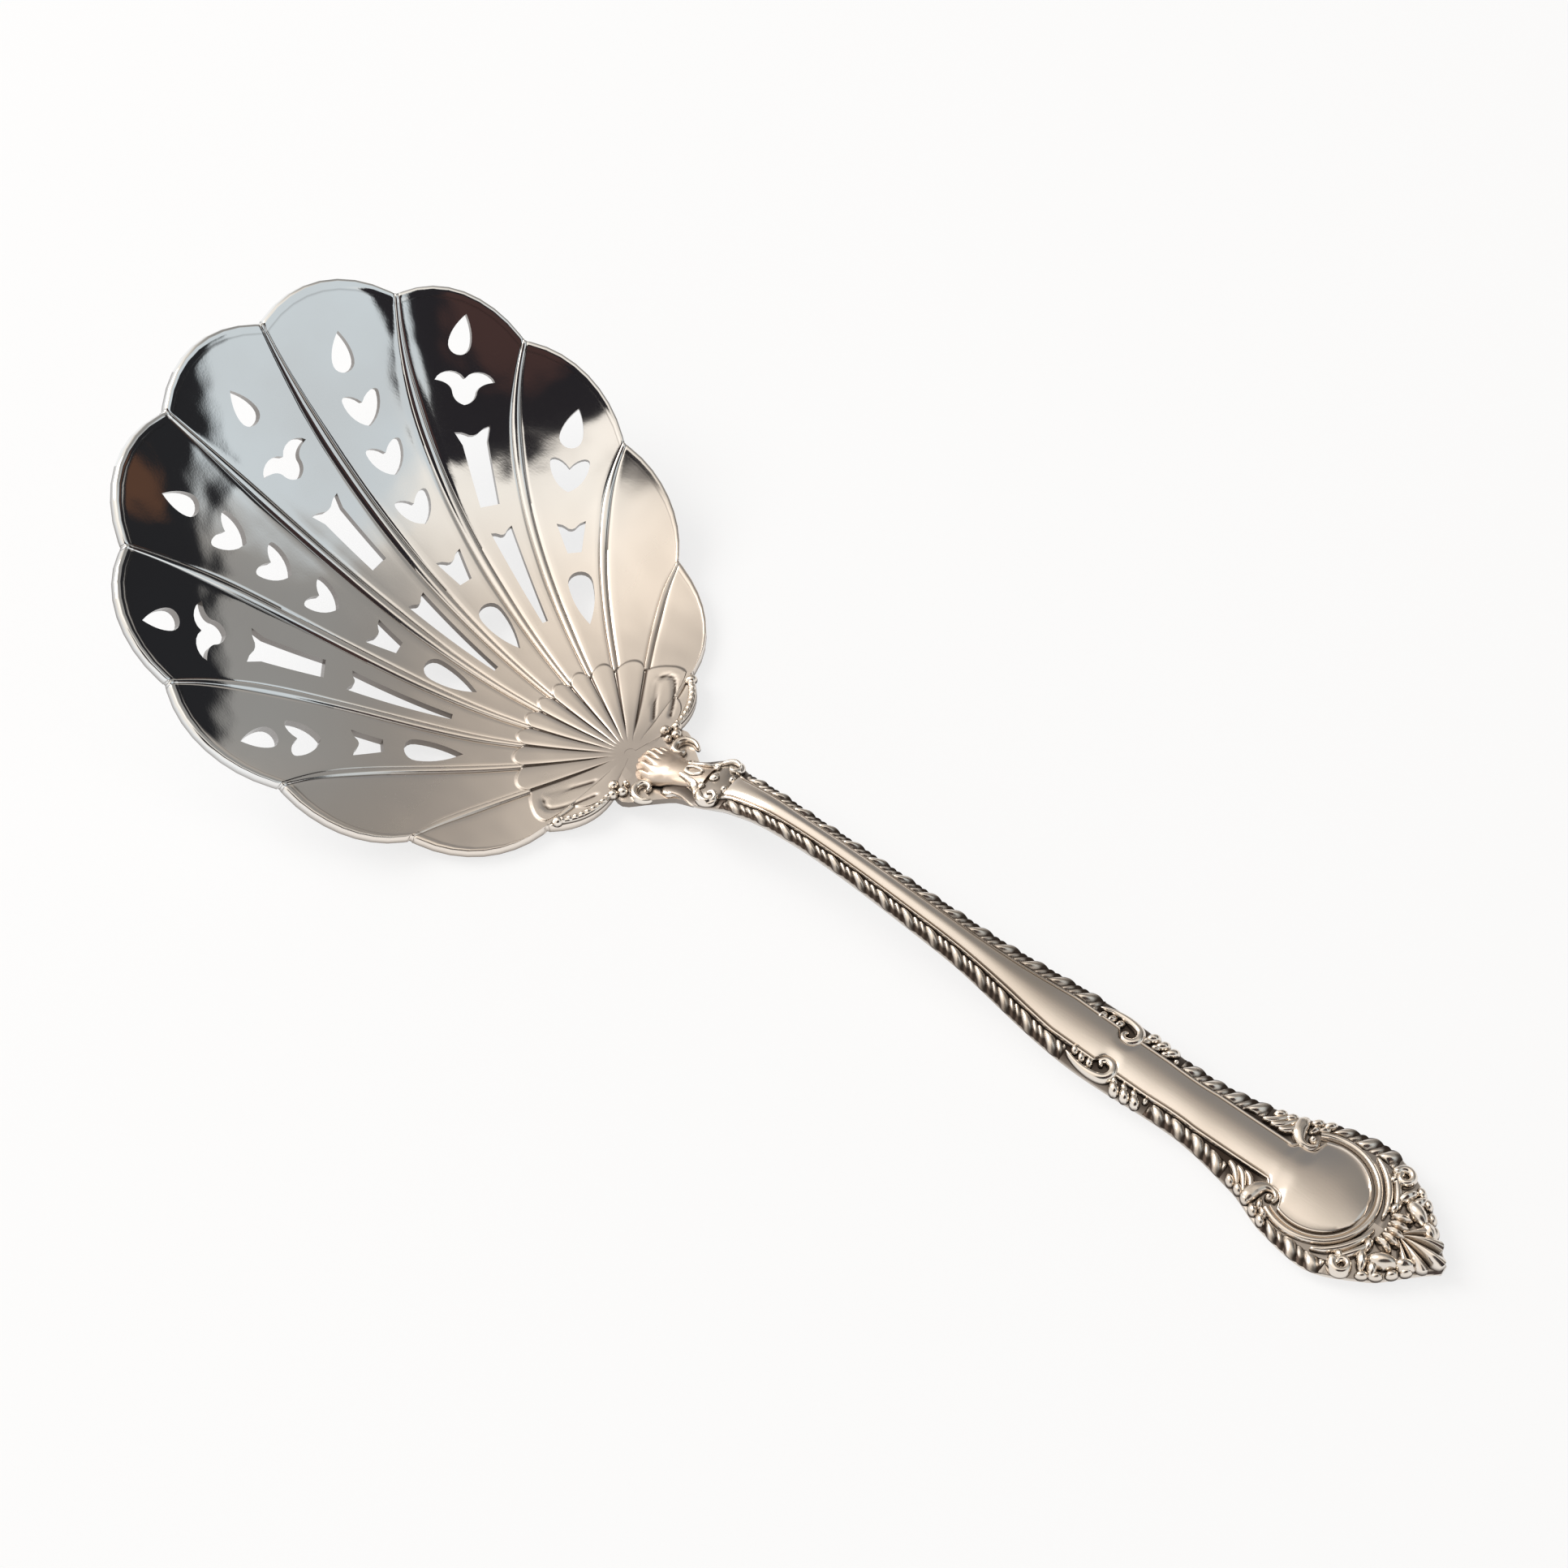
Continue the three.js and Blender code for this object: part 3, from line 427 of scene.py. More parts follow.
def eggPoint(degrees):
    angle = math.radians(degrees)
    half = bowl["length"] / 2
    x = bowl["heel"] - half - half * math.cos(angle)
    return Vector((x, bowl["halfWidth"] * math.sin(angle) * (1 + bowl["taper"] * math.cos(angle))))


def rimPoint(lobe, share):
    start = scallopRoots[lobe]
    degrees = start + (scallopRoots[lobe + 1] - start) * share
    ahead = (eggPoint(degrees + 0.1) - eggPoint(degrees - 0.1)).normalized()
    height = bowl["earRise"] if lobe in (0, lobes - 1) else bowl["scallopRise"]
    return eggPoint(degrees) + Vector((-ahead.y, ahead.x)) * height * (1 - (2 * share - 1) ** 2)


def shellPoint(rim, distance):
    bearing = math.atan2(rim.y, -rim.x)
    gather = min(1, bowl["ribGather"] + bowl["ribStraighten"] * bearing * bearing)
    turn = bearing * (gather + (1 - gather) * (distance / rim.length) ** 4)
    return Vector((-distance * math.cos(turn), distance * math.sin(turn)))


def reachOf(row, rim, across):  # distance from the hub along a lobe, row by row
    length = rim.length
    fan = min(bowl["fanRadius"], bowl["fanShare"] * length) * (1 - bowl["fanBow"] * across * across)
    tight = min(1, (length - fan) / bowl["shortLobe"])
    if row <= bowl["fanRows"]:
        return bowl["hub"] + (fan - tight - bowl["hub"]) * row / bowl["fanRows"]
    row -= bowl["fanRows"] + 1
    if row < len(bowl["edgeRows"]):
        return fan + tight * bowl["edgeRows"][row]
    row -= len(bowl["edgeRows"]) - 1
    start = fan + tight * bowl["edgeRows"][-1]
    end = length - tight * bowl["rimRows"][0]
    if row <= bowl["fluteRows"]:
        return start + (end - start) * row / bowl["fluteRows"]
    return length - tight * bowl["rimRows"][row - bowl["fluteRows"]]


def lineMark(path, x, y):  # how deep a chased line cuts at a point
    spot = Vector((x, y))
    gap = math.inf
    for a, b in zip(path, path[1:]):
        start, run = Vector(a), Vector(b) - Vector(a)
        share = clamp((spot - start).dot(run) / run.length_squared)
        gap = min(gap, (spot - start - run * share).length)
    return math.exp(-(gap / bowl["lineWidth"]) ** 2)


def makeSheet(bm):
    near = bowl["nearRib"]
    loop = [runThrough(bowl["earLoop"], share)[0] for share in spread(0, 1, 40)]
    half = len(near) - 1 + bowl["fillColumns"]
    rows = bowl["fanRows"] + len(bowl["edgeRows"]) + bowl["fluteRows"] + len(bowl["rimRows"]) - 1
    lastFanRow = bowl["fanRows"] + sum(at < 0 for at in bowl["edgeRows"])
    tarnishAndShade = bm.verts.layers.float["tarnishAndShade"]
    widths = {}

    def lobeWidth(lobe, share):
        key = (lobe, round(share, 4))
        if key not in widths:
            a, b = rimPoint(lobe, 0), rimPoint(lobe, 1)
            widths[key] = (shellPoint(a, a.length * share) - shellPoint(b, b.length * share)).length
        return widths[key]

    def point(column, row):
        lobe = min(column // (2 * half), lobes - 1)
        step = column - lobe * 2 * half
        i = min(step, 2 * half - step)
        middle = rimPoint(lobe, 0.5)
        outward = reachOf(row, middle, 0) / middle.length
        width = lobeWidth(lobe, outward)
        byRim = ease(outward, *bowl["rimZone"])
        squeeze = min(1, bowl["ribShare"] * width / near[-1]) * (1 - bowl["rimSqueeze"] * byRim)
        if i < len(near):
            offset = near[i] * squeeze
        else:
            t = (i - len(near) + 1) / bowl["fillColumns"]
            offset = near[-1] * squeeze * (1 - t) + width / 2 * t
        share = offset / width
        if step > half:
            share = 1 - share
        rim = rimPoint(lobe, share)
        across = abs(2 * share - 1)
        reach = reachOf(row, rim, across)
        at = shellPoint(rim, reach)
        z = dish(at.x, at.y)
        flute = ease(reach, bowl["fluteFrom"] * bowl["fanRadius"], bowl["fluteTo"] * bowl["fanRadius"])
        z += bowl["fluteDepth"] * across ** 7 * flute
        if row <= lastFanRow:
            fade = ease(reach, *bowl["hubFade"])
            byEar = (lobe in (0, lobes - 1) or (lobe == 1 and share < 0.5)
                     or (lobe == lobes - 2 and share > 0.5))
            grooved = i < len(near) and not byEar
            groove = bowl["petalProfile"][i] if grooved else 0
            z += bowl["fanRise"] * (1 - across ** 4 * fade) + bowl["petalGroove"] * groove * fade
            mark = bowl["petalMark"][i] * fade if grooved else 0
            if at.x > bowl["loopFrom"] and abs(at.y) > bowl["loopSide"]:
                line = lineMark(loop, at.x, abs(at.y))
                z -= bowl["lineDepth"] * line
                mark = max(mark, line)
        else:
            profile = bowl["ribProfile"][i] if i < len(near) else 0
            z += bowl["ribRise"] * profile * (1 - bowl["rimSink"] * byRim)
            mark = max(0, -profile)
        # a painted shadow line along the step where the fan meets the flutes
        if lastFanRow <= row <= lastFanRow + 1:
            mark = max(mark, bowl["fanEdgeShadow"])
        edge = rim.length - reach
        z += bowl["threadRise"] * math.exp(-((edge - bowl["threadIn"]) / bowl["threadWidth"]) ** 2)
        z -= bowl["rimDrop"] * max(0, 1 - edge / bowl["rimRound"]) ** 2
        rimLine = math.exp(-((edge - bowl["rimLineIn"]) / bowl["rimLineWidth"]) ** 2)
        mark = max(mark, bowl["rimLineMark"] * rimLine)
        return (at.x, at.y, z, mark)

    gridSheet(bm, lobes * 2 * half, rows, point)
    geom = bmesh.ops.extrude_face_region(bm, geom=list(bm.faces))["geom"]
    for v in newVerts(geom):  # the back follows the dish
        v.co -= dishNormal(v.co.x, v.co.y) * bowl["thickness"]
        v.co.z = max(v.co.z, 0.0)
        v[tarnishAndShade] = 0.0


# piercings, drawn with x towards the rim and y across the lobe

def curvePoints(start, *controls, steps=7):  # one bezier stretch, without its last point
    points = [Vector(start)] + [Vector(c) for c in controls]
    found = []
    for k in range(steps):
        level = points
        while len(level) > 1:
            level = [a.lerp(b, k / steps) for a, b in zip(level, level[1:])]
        found.append(level[0])
    return found


def teardrop(length, width, pointAhead):
    way = 1 if pointAhead else -1
    half = width / 2
    back = -way * (length / 2 - half)
    far = back - way * half * 1.33
    tip = (way * length / 2, 0)
    return (curvePoints(tip, (way * length * 0.12, half), (back, half))
            + curvePoints((back, half), (far, half), (far, -half), (back, -half), steps=10)
            + curvePoints((back, -half), (way * length * 0.12, -half), tip))


piercing = {  # bezier stretches of one side from foot to notch, in shares of length and width
    "heart": [[(-0.36, 0.3), (0.02, 0.48), (0.36, 0.49)], [(0.56, 0.5), (0.52, 0.2), (0.2, 0)]],
    "trefoil": [[(-0.42, 0.19), (-0.09, 0.21)], [(0.15, 0.26), (0.19, 0.5)],
                [(0.48, 0.44), (0.62, 0.14), (0.27, 0)]],
}


def twoSided(kind, length, width):
    sides = []
    for way in (-1, 1):
        start = (-0.5 * length, 0)
        side = []
        for stretch in piercing[kind]:
            points = [(a * length, b * way * width) for a, b in stretch]
            side += curvePoints(start, *points)
            start = points[-1]
        sides.append(side)
    return sides[0] + [Vector(start)] + sides[1][:0:-1]


def slot(length, rimWidth, hubWidth, flare=0.0):  # the rim end is notched, and may flare into two horns
    far, rim, foot = length / 2, rimWidth / 2 + flare, hubWidth / 2
    lip, deep = far - 0.05 * rimWidth, far - 0.24 * rimWidth
    flank = [(-far, foot)] + ([(far - 2.6 * flare, rimWidth / 2)] if flare else [])
    return ([Vector((x, -y)) for x, y in flank]
            + curvePoints((far, -rim), (lip, -0.3 * rim), (deep, -0.4 * rim), (deep, 0), steps=4)
            + curvePoints((deep, 0), (deep, 0.4 * rim), (lip, 0.3 * rim), (far, rim), steps=4)
            + [Vector((far, rim))] + [Vector(spot) for spot in reversed(flank)])


tear, leaf = teardrop(5.7, 3.2, True), teardrop(7.9, 3.4, False)
tulip, shield = twoSided("trefoil", 4.7, 8.4), slot(4.3, 4, 1.9)
outerSlot, innerSlot = slot(10.8, 3.6, 2.7, 0.75), slot(14.4, 3.1, 0.8)
hearts = [twoSided("heart", size * 4.8, size * 5.6) for size in (1, 0.98, 0.94)]
piercings = [  # share of the lobe's length from the hub, front lobe first
    [(0.9, tear), (0.8, tulip), (0.66, outerSlot), (0.418, innerSlot)],
    [(0.902, tear), (0.815, hearts[0]), (0.732, hearts[1]), (0.64, hearts[2]),
     (0.518, shield), (0.382, leaf)],
    [(0.935, tear), (0.85, tulip), (0.71, outerSlot), (0.485, innerSlot)],
    [(0.888, tear), (0.785, hearts[0]), (0.638, shield), (0.482, leaf)],
]


def makeCutter(bm, rim, share, outline):
    at = shellPoint(rim, share * rim.length)
    ahead = shellPoint(rim, share * rim.length + 0.1) - at
    up = dishNormal(at.x, at.y)
    forward = Vector((ahead.x, ahead.y, 0))
    forward = (forward - up * forward.dot(up)).normalized()
    side = up.cross(forward)
    depth = 4 * (bowl["thickness"] + bowl["fluteDepth"])
    verts = bmesh.ops.create_circle(bm, cap_ends=True, segments=len(outline), radius=1)["verts"]
    for v, spot in zip(verts, outline):
        v.co = Vector((at.x, at.y, dish(at.x, at.y))) + forward * spot.x + side * spot.y - up * depth / 2
    face = next(f for f in verts[0].link_faces if len(f.verts) == len(outline))
    geom = bmesh.ops.extrude_face_region(bm, geom=[face])["geom"]
    bmesh.ops.translate(bm, verts=newVerts(geom), vec=up * depth)


def looseObject(bm, name):
    bmesh.ops.recalc_face_normals(bm, faces=bm.faces)
    return linked(name, plainMesh(bm, name))


def makeBowl():
    sheetForm = newForm()
    makeSheet(sheetForm)
    sheet = looseObject(sheetForm, "sheetBlank")
    cutForm = bmesh.new()
    for lobe, pattern in enumerate(piercings):
        for number in {frontLobe - lobe, frontLobe + lobe}:
            for share, outline in pattern:
                makeCutter(cutForm, rimPoint(number, 0.5), share, outline)
    cutter = looseObject(cutForm, "piercingBlank")
    tabForm = newForm()
    tabWidth = softCurve(bowl["tabWidth"])

    def tabPoint(column, row):
        x = -bowl["hub"] + (bowl["tabReach"] + bowl["hub"]) * row / bowl["tabRows"]
        y = tabWidth(x) * (2 * column / bowl["tabColumns"] - 1)
        besideFan = ease(abs(y) - bowl["fanFlank"] * x, -3, 0) * ease(math.hypot(x, y), *bowl["hubFade"])
        return (x, y, dish(x, y) + bowl["fanRise"] * (1 - besideFan) - bowl["tabSink"], 0.0)
    tabVerts = gridSheet(tabForm, bowl["tabColumns"], bowl["tabRows"], tabPoint)
    backed(tabForm, tabVerts, bowl["thickness"] - bowl["tabThinner"])
    tab = looseObject(tabForm, "lapBlank")
    for operation, tool in (("UNION", tab), ("DIFFERENCE", cutter)):
        modifier = sheet.modifiers.new(operation, "BOOLEAN")
        modifier.operation = operation
        modifier.solver = "EXACT"
        modifier.object = tool
    graph = bpy.context.evaluated_depsgraph_get()
    cutMesh = bpy.data.meshes.new_from_object(sheet.evaluated_get(graph))
    bm = bmesh.new()
    bm.from_mesh(cutMesh)
    mesh = meshFrom(bm, "bowl_shell", bowl["sharpAngle"])
    bpy.data.meshes.remove(cutMesh)
    smoothBySheet(mesh, sheet.data)
    for blank in (sheet, tab, cutter):
        spare = blank.data
        bpy.data.objects.remove(blank)
        bpy.data.meshes.remove(spare)
    return mesh


def smoothBySheet(mesh, source):  # the cut faces keep the uncut sheet's own smooth normals and dark marks
    bm = bmesh.new()
    bm.from_mesh(source)
    bmesh.ops.triangulate(bm, faces=bm.faces)
    bm.normal_update()
    bm.faces.ensure_lookup_table()
    tree = BVHTree.FromBMesh(bm)
    tarnishAndShade = bm.verts.layers.float["tarnishAndShade"]
    shift = Vector((hubX, 0, 0))
    depth = [0.0] * len(mesh.vertices)
    soft = [None] * len(mesh.vertices)
    for v in mesh.vertices:
        spot, normal, index, gap = tree.find_nearest(v.co / mm - shift)
        if gap > bowl["sheetGap"]:
            continue
        corners = bm.faces[index].verts
        weights = interpolate.poly_3d_calc([c.co for c in corners], spot)
        soft[v.index] = sum((c.normal * w for c, w in zip(corners, weights)), Vector()).normalized()
        depth[v.index] = sum(c[tarnishAndShade] * w for c, w in zip(corners, weights))
    kept = [None] * len(mesh.loops)
    marks = [0.0] * len(mesh.loops)
    for p in mesh.polygons:
        flat = p.normal.copy()
        # the steep walls of the piercings and rim get painted shade
        sawn = bowl["sawnWallShade"] if abs(flat.z) < bowl["sawnTilt"] else 0.0
        least = bowl["backMark"] if flat.z < bowl["backTilt"] else 0.0  # faces turned downwards, the back, are drawn darker and rougher
        for corner in p.loop_indices:
            spot = mesh.loops[corner].vertex_index
            onSheet = soft[spot] is not None and soft[spot].dot(flat) > bowl["sheetTurn"]
            kept[corner] = soft[spot] if onSheet else flat
            marks[corner] = max(depth[spot] if onSheet else sawn, least)
    bm.free()
    mesh.normals_split_custom_set(kept)
    if "tarnishAndShade" in mesh.attributes:
        mesh.attributes.remove(mesh.attributes["tarnishAndShade"])
    layer = mesh.attributes.new("tarnishAndShade", "FLOAT", "CORNER")
    layer.data.foreach_set("value", marks)


bowlPiece = place(makeBowl(), bowlSilver, "bowl")
print("bowl pierced:", len(bowlPiece.data.polygons), "faces")


# handle

stem = {
    "nose": 7, "collar": 14.2, "collarRise": 3.4, "arch": 25, "archHeight": 10.6, "depth": 2.2, "endDepth": 2.5,
    "tipLift": 0.9, "noseDepth": 0.35, "noseSink": 0.22, "footShare": 0.84, "half": 2.5, "collarHalf": 4.4,
    "waistHalf": 5.4, "dipHalf": 4.9, "endHalf": 10.2, "tipHalf": 0.6,
    "fieldRise": 1.1, "fieldEnd": 3.1, "fieldDome": 0.48, "panelDome": 0.24, "lineWidth": 0.62,
    "border": 1.4, "waistBorder": 1.95, "endBorder": 2.2, "shoulder": 0.32,
    "waist": handleReach - 47.9, "end": handleReach - 16.9, "panel": handleReach - 17.9,
    "panelRadius": 6.4, "panelClear": 0.4, "threadWidth": 1.2, "gap": 0.25,
    "mountHeight": 0.95, "mountSink": 0.04, "scrollY": 3.35, "scrollBite": 1.5, "shoulderY": 5.2,
    "shoulderBite": 1.4, "stations": 320, "sharpAngle": 38,
    "marks": {4: 0.2, 5: 0.3, 6: 0.4, 7: 0.5, 8: 0.75, 9: 0.85, 10: 0.9, 11: 0.95,  # by place in the ring: 4 to 7, the side wall, are painted shade; 8 to 17 darken the ledge and the thread's hollows
              12: 0.35, 15: 0.2, 16: 0.6, 17: 0.15},
}
noseX, collarX, archX, waistX, endX, panelX = (
    stem[k] for k in ("nose", "collar", "arch", "waist", "end", "panel"))
shoulderX = endX - 5.2
threadRadius = stem["panelRadius"] + stem["gap"] + stem["threadWidth"] / 2
threadOuter = threadRadius + stem["threadWidth"] / 2 + stem["gap"]
finialX = panelX + threadOuter + 1
fieldStart = collarX + 2.4
lapTop = dish(bowl["tabReach"], 0) + stem["gap"]

handleHalf = softCurve([
    (noseX, stem["half"] + 0.4), (collarX - 4, stem["half"] + 0.7), (collarX, stem["collarHalf"]),
    (collarX + 4.2, stem["half"] + 0.7), (archX + 5, stem["half"]), (archX + 28, stem["half"] + 0.7),
    (waistX - 2, stem["waistHalf"]), (waistX + 10.4, stem["dipHalf"]), (endX - 9.6, stem["dipHalf"] + 1.8),
    (endX - 3.6, stem["endHalf"] - 1.1), (endX + 2.7, stem["endHalf"]), (endX + 10.4, 0.69 * stem["endHalf"]),
    (endX + 14.4, 0.3 * stem["endHalf"]), (handleReach, stem["tipHalf"])])
ledge = softCurve([
    (noseX, dish(noseX, 0) + stem["gap"] + stem["noseDepth"]), (collarX, lapTop + stem["collarRise"]),
    (archX, stem["archHeight"]), (archX + 5, stem["archHeight"] - 0.1),
    (archX + 24, stem["archHeight"] - 2.2),
    (waistX - 9.6, stem["endDepth"] + 2.6), (waistX, stem["endDepth"] + 1.6),
    (waistX + 11.4, stem["endDepth"] + 0.7), (endX - 5, stem["endDepth"]),
    (endX + 7, stem["endDepth"]), (handleReach, stem["endDepth"] - 0.3)])
archLow = stem["archHeight"] - stem["depth"]
underside = softCurve([
    (noseX, dish(noseX, 0) + stem["gap"]), (bowl["tabReach"], lapTop), (archX, archLow),
    (archX + 5, archLow - 0.1), (archX + 24, archLow - 2.2), (waistX, stem["endDepth"] + 1.6 - stem["depth"]),
    (endX - 9.6, 0), (endX + 9.6, 0), (handleReach, stem["tipLift"])])
borderWidth = softCurve([
    (collarX, stem["border"]), (archX + 5, stem["border"]), (waistX - 10, stem["waistBorder"]),
    (waistX + 11, stem["waistBorder"]), (endX - 9.6, stem["endBorder"])])


def fieldHalf(x):
    return min(handleHalf(x) - borderWidth(x), stem["fieldEnd"])


def fieldEdge(x):  # field, panel and the bites that the scrolls take out of them
    away = x - panelX
    disc = math.sqrt(max(0, stem["panelRadius"] ** 2 - away * away))
    edge = disc if away > 0 else max(fieldHalf(x), disc)
    bites = ((waistX, stem["scrollY"], stem["scrollBite"]),
             (shoulderX, stem["shoulderY"], stem["shoulderBite"]))
    for biteX, biteY, radius in bites:
        if abs(x - biteX) < radius:
            edge = min(edge, biteY - math.sqrt(radius ** 2 - (x - biteX) ** 2))
    return max(edge, 0.02)


footHalf = softCurve([
    (noseX, 2.5), (noseX + 0.8, 3.5), (noseX + 1.8, 3.6), (noseX + 3, 3.0), (collarX, 2.9), (collarX + 3, 2.6),
    (archX + 5, stem["footShare"] * stem["half"])])


def stemRing(x):
    half, top = min(handleHalf(x), 2 + 1.1 * (x - noseX)), ledge(x)
    low = underside(x) - stem["noseSink"] * (1 - ease(x, collarX - 3, collarX - 1))
    foot = footHalf(x) if x < archX + 5 else stem["footShare"] * half  # the neck spreads on to the lap
    tall = top - low
    slope = stem["shoulder"] * min(tall, 1)
    edge = fieldEdge(x)
    rise = stem["fieldRise"] * ease(x, fieldStart - 0.3, fieldStart + 0.5)
    if x >= panelX + stem["panelRadius"] - 0.02:
        rise = 0.0
    dome = stem["fieldDome"] + stem["panelDome"] * ease(x, panelX - 8, panelX - 3)
    line = min(1, edge / 2.2)  # the fine thread narrows with the field
    inner = edge - stem["lineWidth"] * line

    def crown(y):
        beyond = max(0, x - panelX)
        s = math.hypot(beyond, y) / stem["panelRadius"] if beyond else y / edge
        return top + rise * (1 - dome * min(1, s) ** 2)
    side = [(0, low), (0.4 * foot, low), (0.72 * foot, low), (0.86 * foot, low + 0.05 * tall),
            (0.955 * foot, low + 0.17 * tall), (half + 0.5 * (foot - half), low + 0.4 * tall),
            (half, top - 0.36 * min(tall, 1.8)), (half - 0.08, top - 0.46 * min(tall, 1)),
            (half - 0.25, top - slope)]
    side += [(edge + (half - 0.25 - edge) * t, top - slope * t) for t in (0.6, 0.25)]
    side += [(edge, top), (edge - 0.03 * line, top + 0.38 * rise), (edge - 0.12 * line, top + 0.58 * rise),
             (edge - 0.26 * line, top + 0.62 * rise), (edge - 0.38 * line, top + 0.52 * rise),
             (edge - 0.46 * line, top + 0.4 * rise), (inner, crown(inner) - 0.02)]
    side += [(inner * t, crown(inner * t)) for t in (0.86, 0.66, 0.44, 0.22)]
    ring = [(x, y, z) for y, z in side] + [(x, 0, crown(0))]
    return ring + [(x, -y, z) for y, z in reversed(side[1:])]


def makeHandle():
    bm = newForm()
    verts = ringLoft(bm, [stemRing(x) for x in spread(noseX, handleReach, stem["stations"])])
    order = bm.verts.layers.int["order"]
    tarnishAndShade = bm.verts.layers.float["tarnishAndShade"]
    count = len(stemRing(noseX))
    for v in verts:
        k = min(v[order], count - v[order])
        clear = stem["panelClear"] * ease(v.co.x, panelX - 8, panelX - 5)
        v[tarnishAndShade] = stem["marks"].get(k, 0.0) * (1 - clear)
    return meshFrom(bm, "handle_stem", stem["sharpAngle"])


handlePiece = place(makeHandle(), stemSilver, "handle")
print("handle struck:", len(handlePiece.data.polygons), "faces")


# mounts on the handle

def onLedge(x, y):  # the border falls away towards its edge
    half, inside = handleHalf(x), fieldHalf(x)
    return ledge(x) - stem["mountSink"] - stem["shoulder"] * clamp((abs(y) - inside) / (half - inside))


gadroons = {"slant": 0.4, "rise": 0.75, "steps": 26, "columns": 10, "ribRise": 0.5, "round": 0.8,
            "notch": 0.25, "least": 0.15, "fullWidth": 1.5}


def gadroonLobe(phase, tooth, ribs):  # a full tooth, then the fine ribs before the next one
    phase -= math.floor(phase)
    if phase < tooth:
        return math.sin(math.pi * phase / tooth) ** gadroons["round"]
    rest = (phase - tooth) / (1 - tooth)
    return gadroons["ribRise"] * abs(math.sin(math.pi * ribs * rest)) ** gadroons["round"]


def makeGadroon(bm, start, end, inside, pitch, tooth, ribs):
    count = max(1, round((end - start) / pitch))
    rows = count * gadroons["steps"]

    def point(column, row):
        t = column / gadroons["columns"]
        x = start + (end - start) * row / rows
        lobe = gadroonLobe(count * row / rows - gadroons["slant"] * t, tooth, ribs)
        ends = ease(row, -1, 4) * ease(rows - row, -1, 4)
        inner, outer = inside(x) + 0.04, handleHalf(x) + 0.06 - gadroons["notch"] * (1 - lobe)
        dome = math.sin(math.pi * (0.03 + 0.88 * t ** 0.62)) ** gadroons["round"]
        narrow = min(1, (outer - inner) / gadroons["fullWidth"])
        full = gadroons["least"] + (1 - gadroons["least"]) * lobe
        rise = gadroons["rise"] * narrow * dome * full * ends
        # dark in the gaps between the teeth, and painted shade down the border's outer slope
        mark = (0.55 + 0.4 * t) * (1 - lobe) ** 1.3 + 0.9 * ease(t, 0.4, 0.9) * (1 - 0.35 * lobe)
        return (x, inner + (outer - inner) * t, rise, min(1, mark))
    verts = seated(bm, gridSheet(bm, gadroons["columns"], rows, point))
    laidOn(bm, verts, onLedge, 0.7 * gadroons["rise"])


def makePair(name, build):
    for way in ("right", "left"):
        bm = newForm()
        build(bm)
        if way == "left":
            mirrorForm(bm)
        node = f"{name}_{way}"
        place(meshFrom(bm, node + "_mount", 40), mountSilver, node)


waistTail = waistX - 5.4
leafEnd = waistX + 7.2
shoulderStart = shoulderX - 6.8
endStart = shoulderX + 0.9
endStop = endX + 5.0


def threadEdge(x):
    ring = math.sqrt(max(0, (threadOuter - stem["gap"]) ** 2 - (x - panelX) ** 2))
    return max(ring, handleHalf(x) - stem["endBorder"])


def borderEdge(x):
    return max(fieldHalf(x), handleHalf(x) - stem["endBorder"])


borders = {  # from, to, inner edge, pitch, tooth's share of it, fine ribs
    "stem_gadroon": (collarX + 3.2, waistTail + 0.1, fieldHalf, 3.8, 0.52, 2),
    "upper_gadroon": (leafEnd - 0.1, shoulderStart + 0.4, borderEdge, 3.2, 0.66, 1),
    "end_gadroon": (endStart, endStop, threadEdge, 3.0, 0.66, 1),
}
for name, border in borders.items():
    makePair(name, lambda bm: makeGadroon(bm, *border))
print("gadroon borders laid")


def leafBlade(share):
    return math.sin(math.pi * (0.12 + 0.8 * share)) ** 0.8


def offsetPath(x, y, steps):
    return [(x + dx, y + dy) for dx, dy in steps]


scrolls = {
    "waist": [(-5.2, 0.55), (-3.2, 1.15), (-1.1, 1.25), (0.6, 0.8), (1.15, -0.3), (0.7, -1.25), (-0.3, -1.5),
              (-0.85, -0.9), (-0.4, -0.3)],
    "waistBuds": [(-4.4, -0.3), (-3.2, 0.05), (-2.0, 0.05)],
    "waistLeaves": [2.4, 3.9, 5.4],
    "shoulder": [(-1.9, 2.0), (-2.2, 0.9), (-1.9, -0.3), (-1.1, -1.2), (0, -1.3), (0.75, -0.7), (0.6, 0.1)],
    "shoulderBuds": [(-0.5, 1.1, 64), (0.4, 1.85, 36)],  # place and heading
    "shoulderEdge": [-5.2, -3.8, -2.4, -0.8, 0.7],
    "endCurl": {"radius": 1.25, "start": 200, "turn": 430, "steps": 14},
    "endArcs": [(8.5, 6, 66), (9.55, 16, 50)],  # reach from the panel's middle, first and last bearing
    "endEdge": [1.3, 2.8, 4.2, 5.4],
    "endLeaves": [  # place, heading, length, width, height
        (0.3, 5.4, 62, 1.6, 0.78, 1.5), (2.5, 4.0, -26, 2.1, 1.15, 2.0), (4.9, 2.8, -30, 1.5, 0.95, 1.7),
        (1.9, 5.6, 64, 1.3, 0.75, 1.4), (-0.1, 3.2, 80, 1.1, 0.62, 1.3), (-2.2, 6.4, 30, 0.9, 0.6, 1.2)],
}


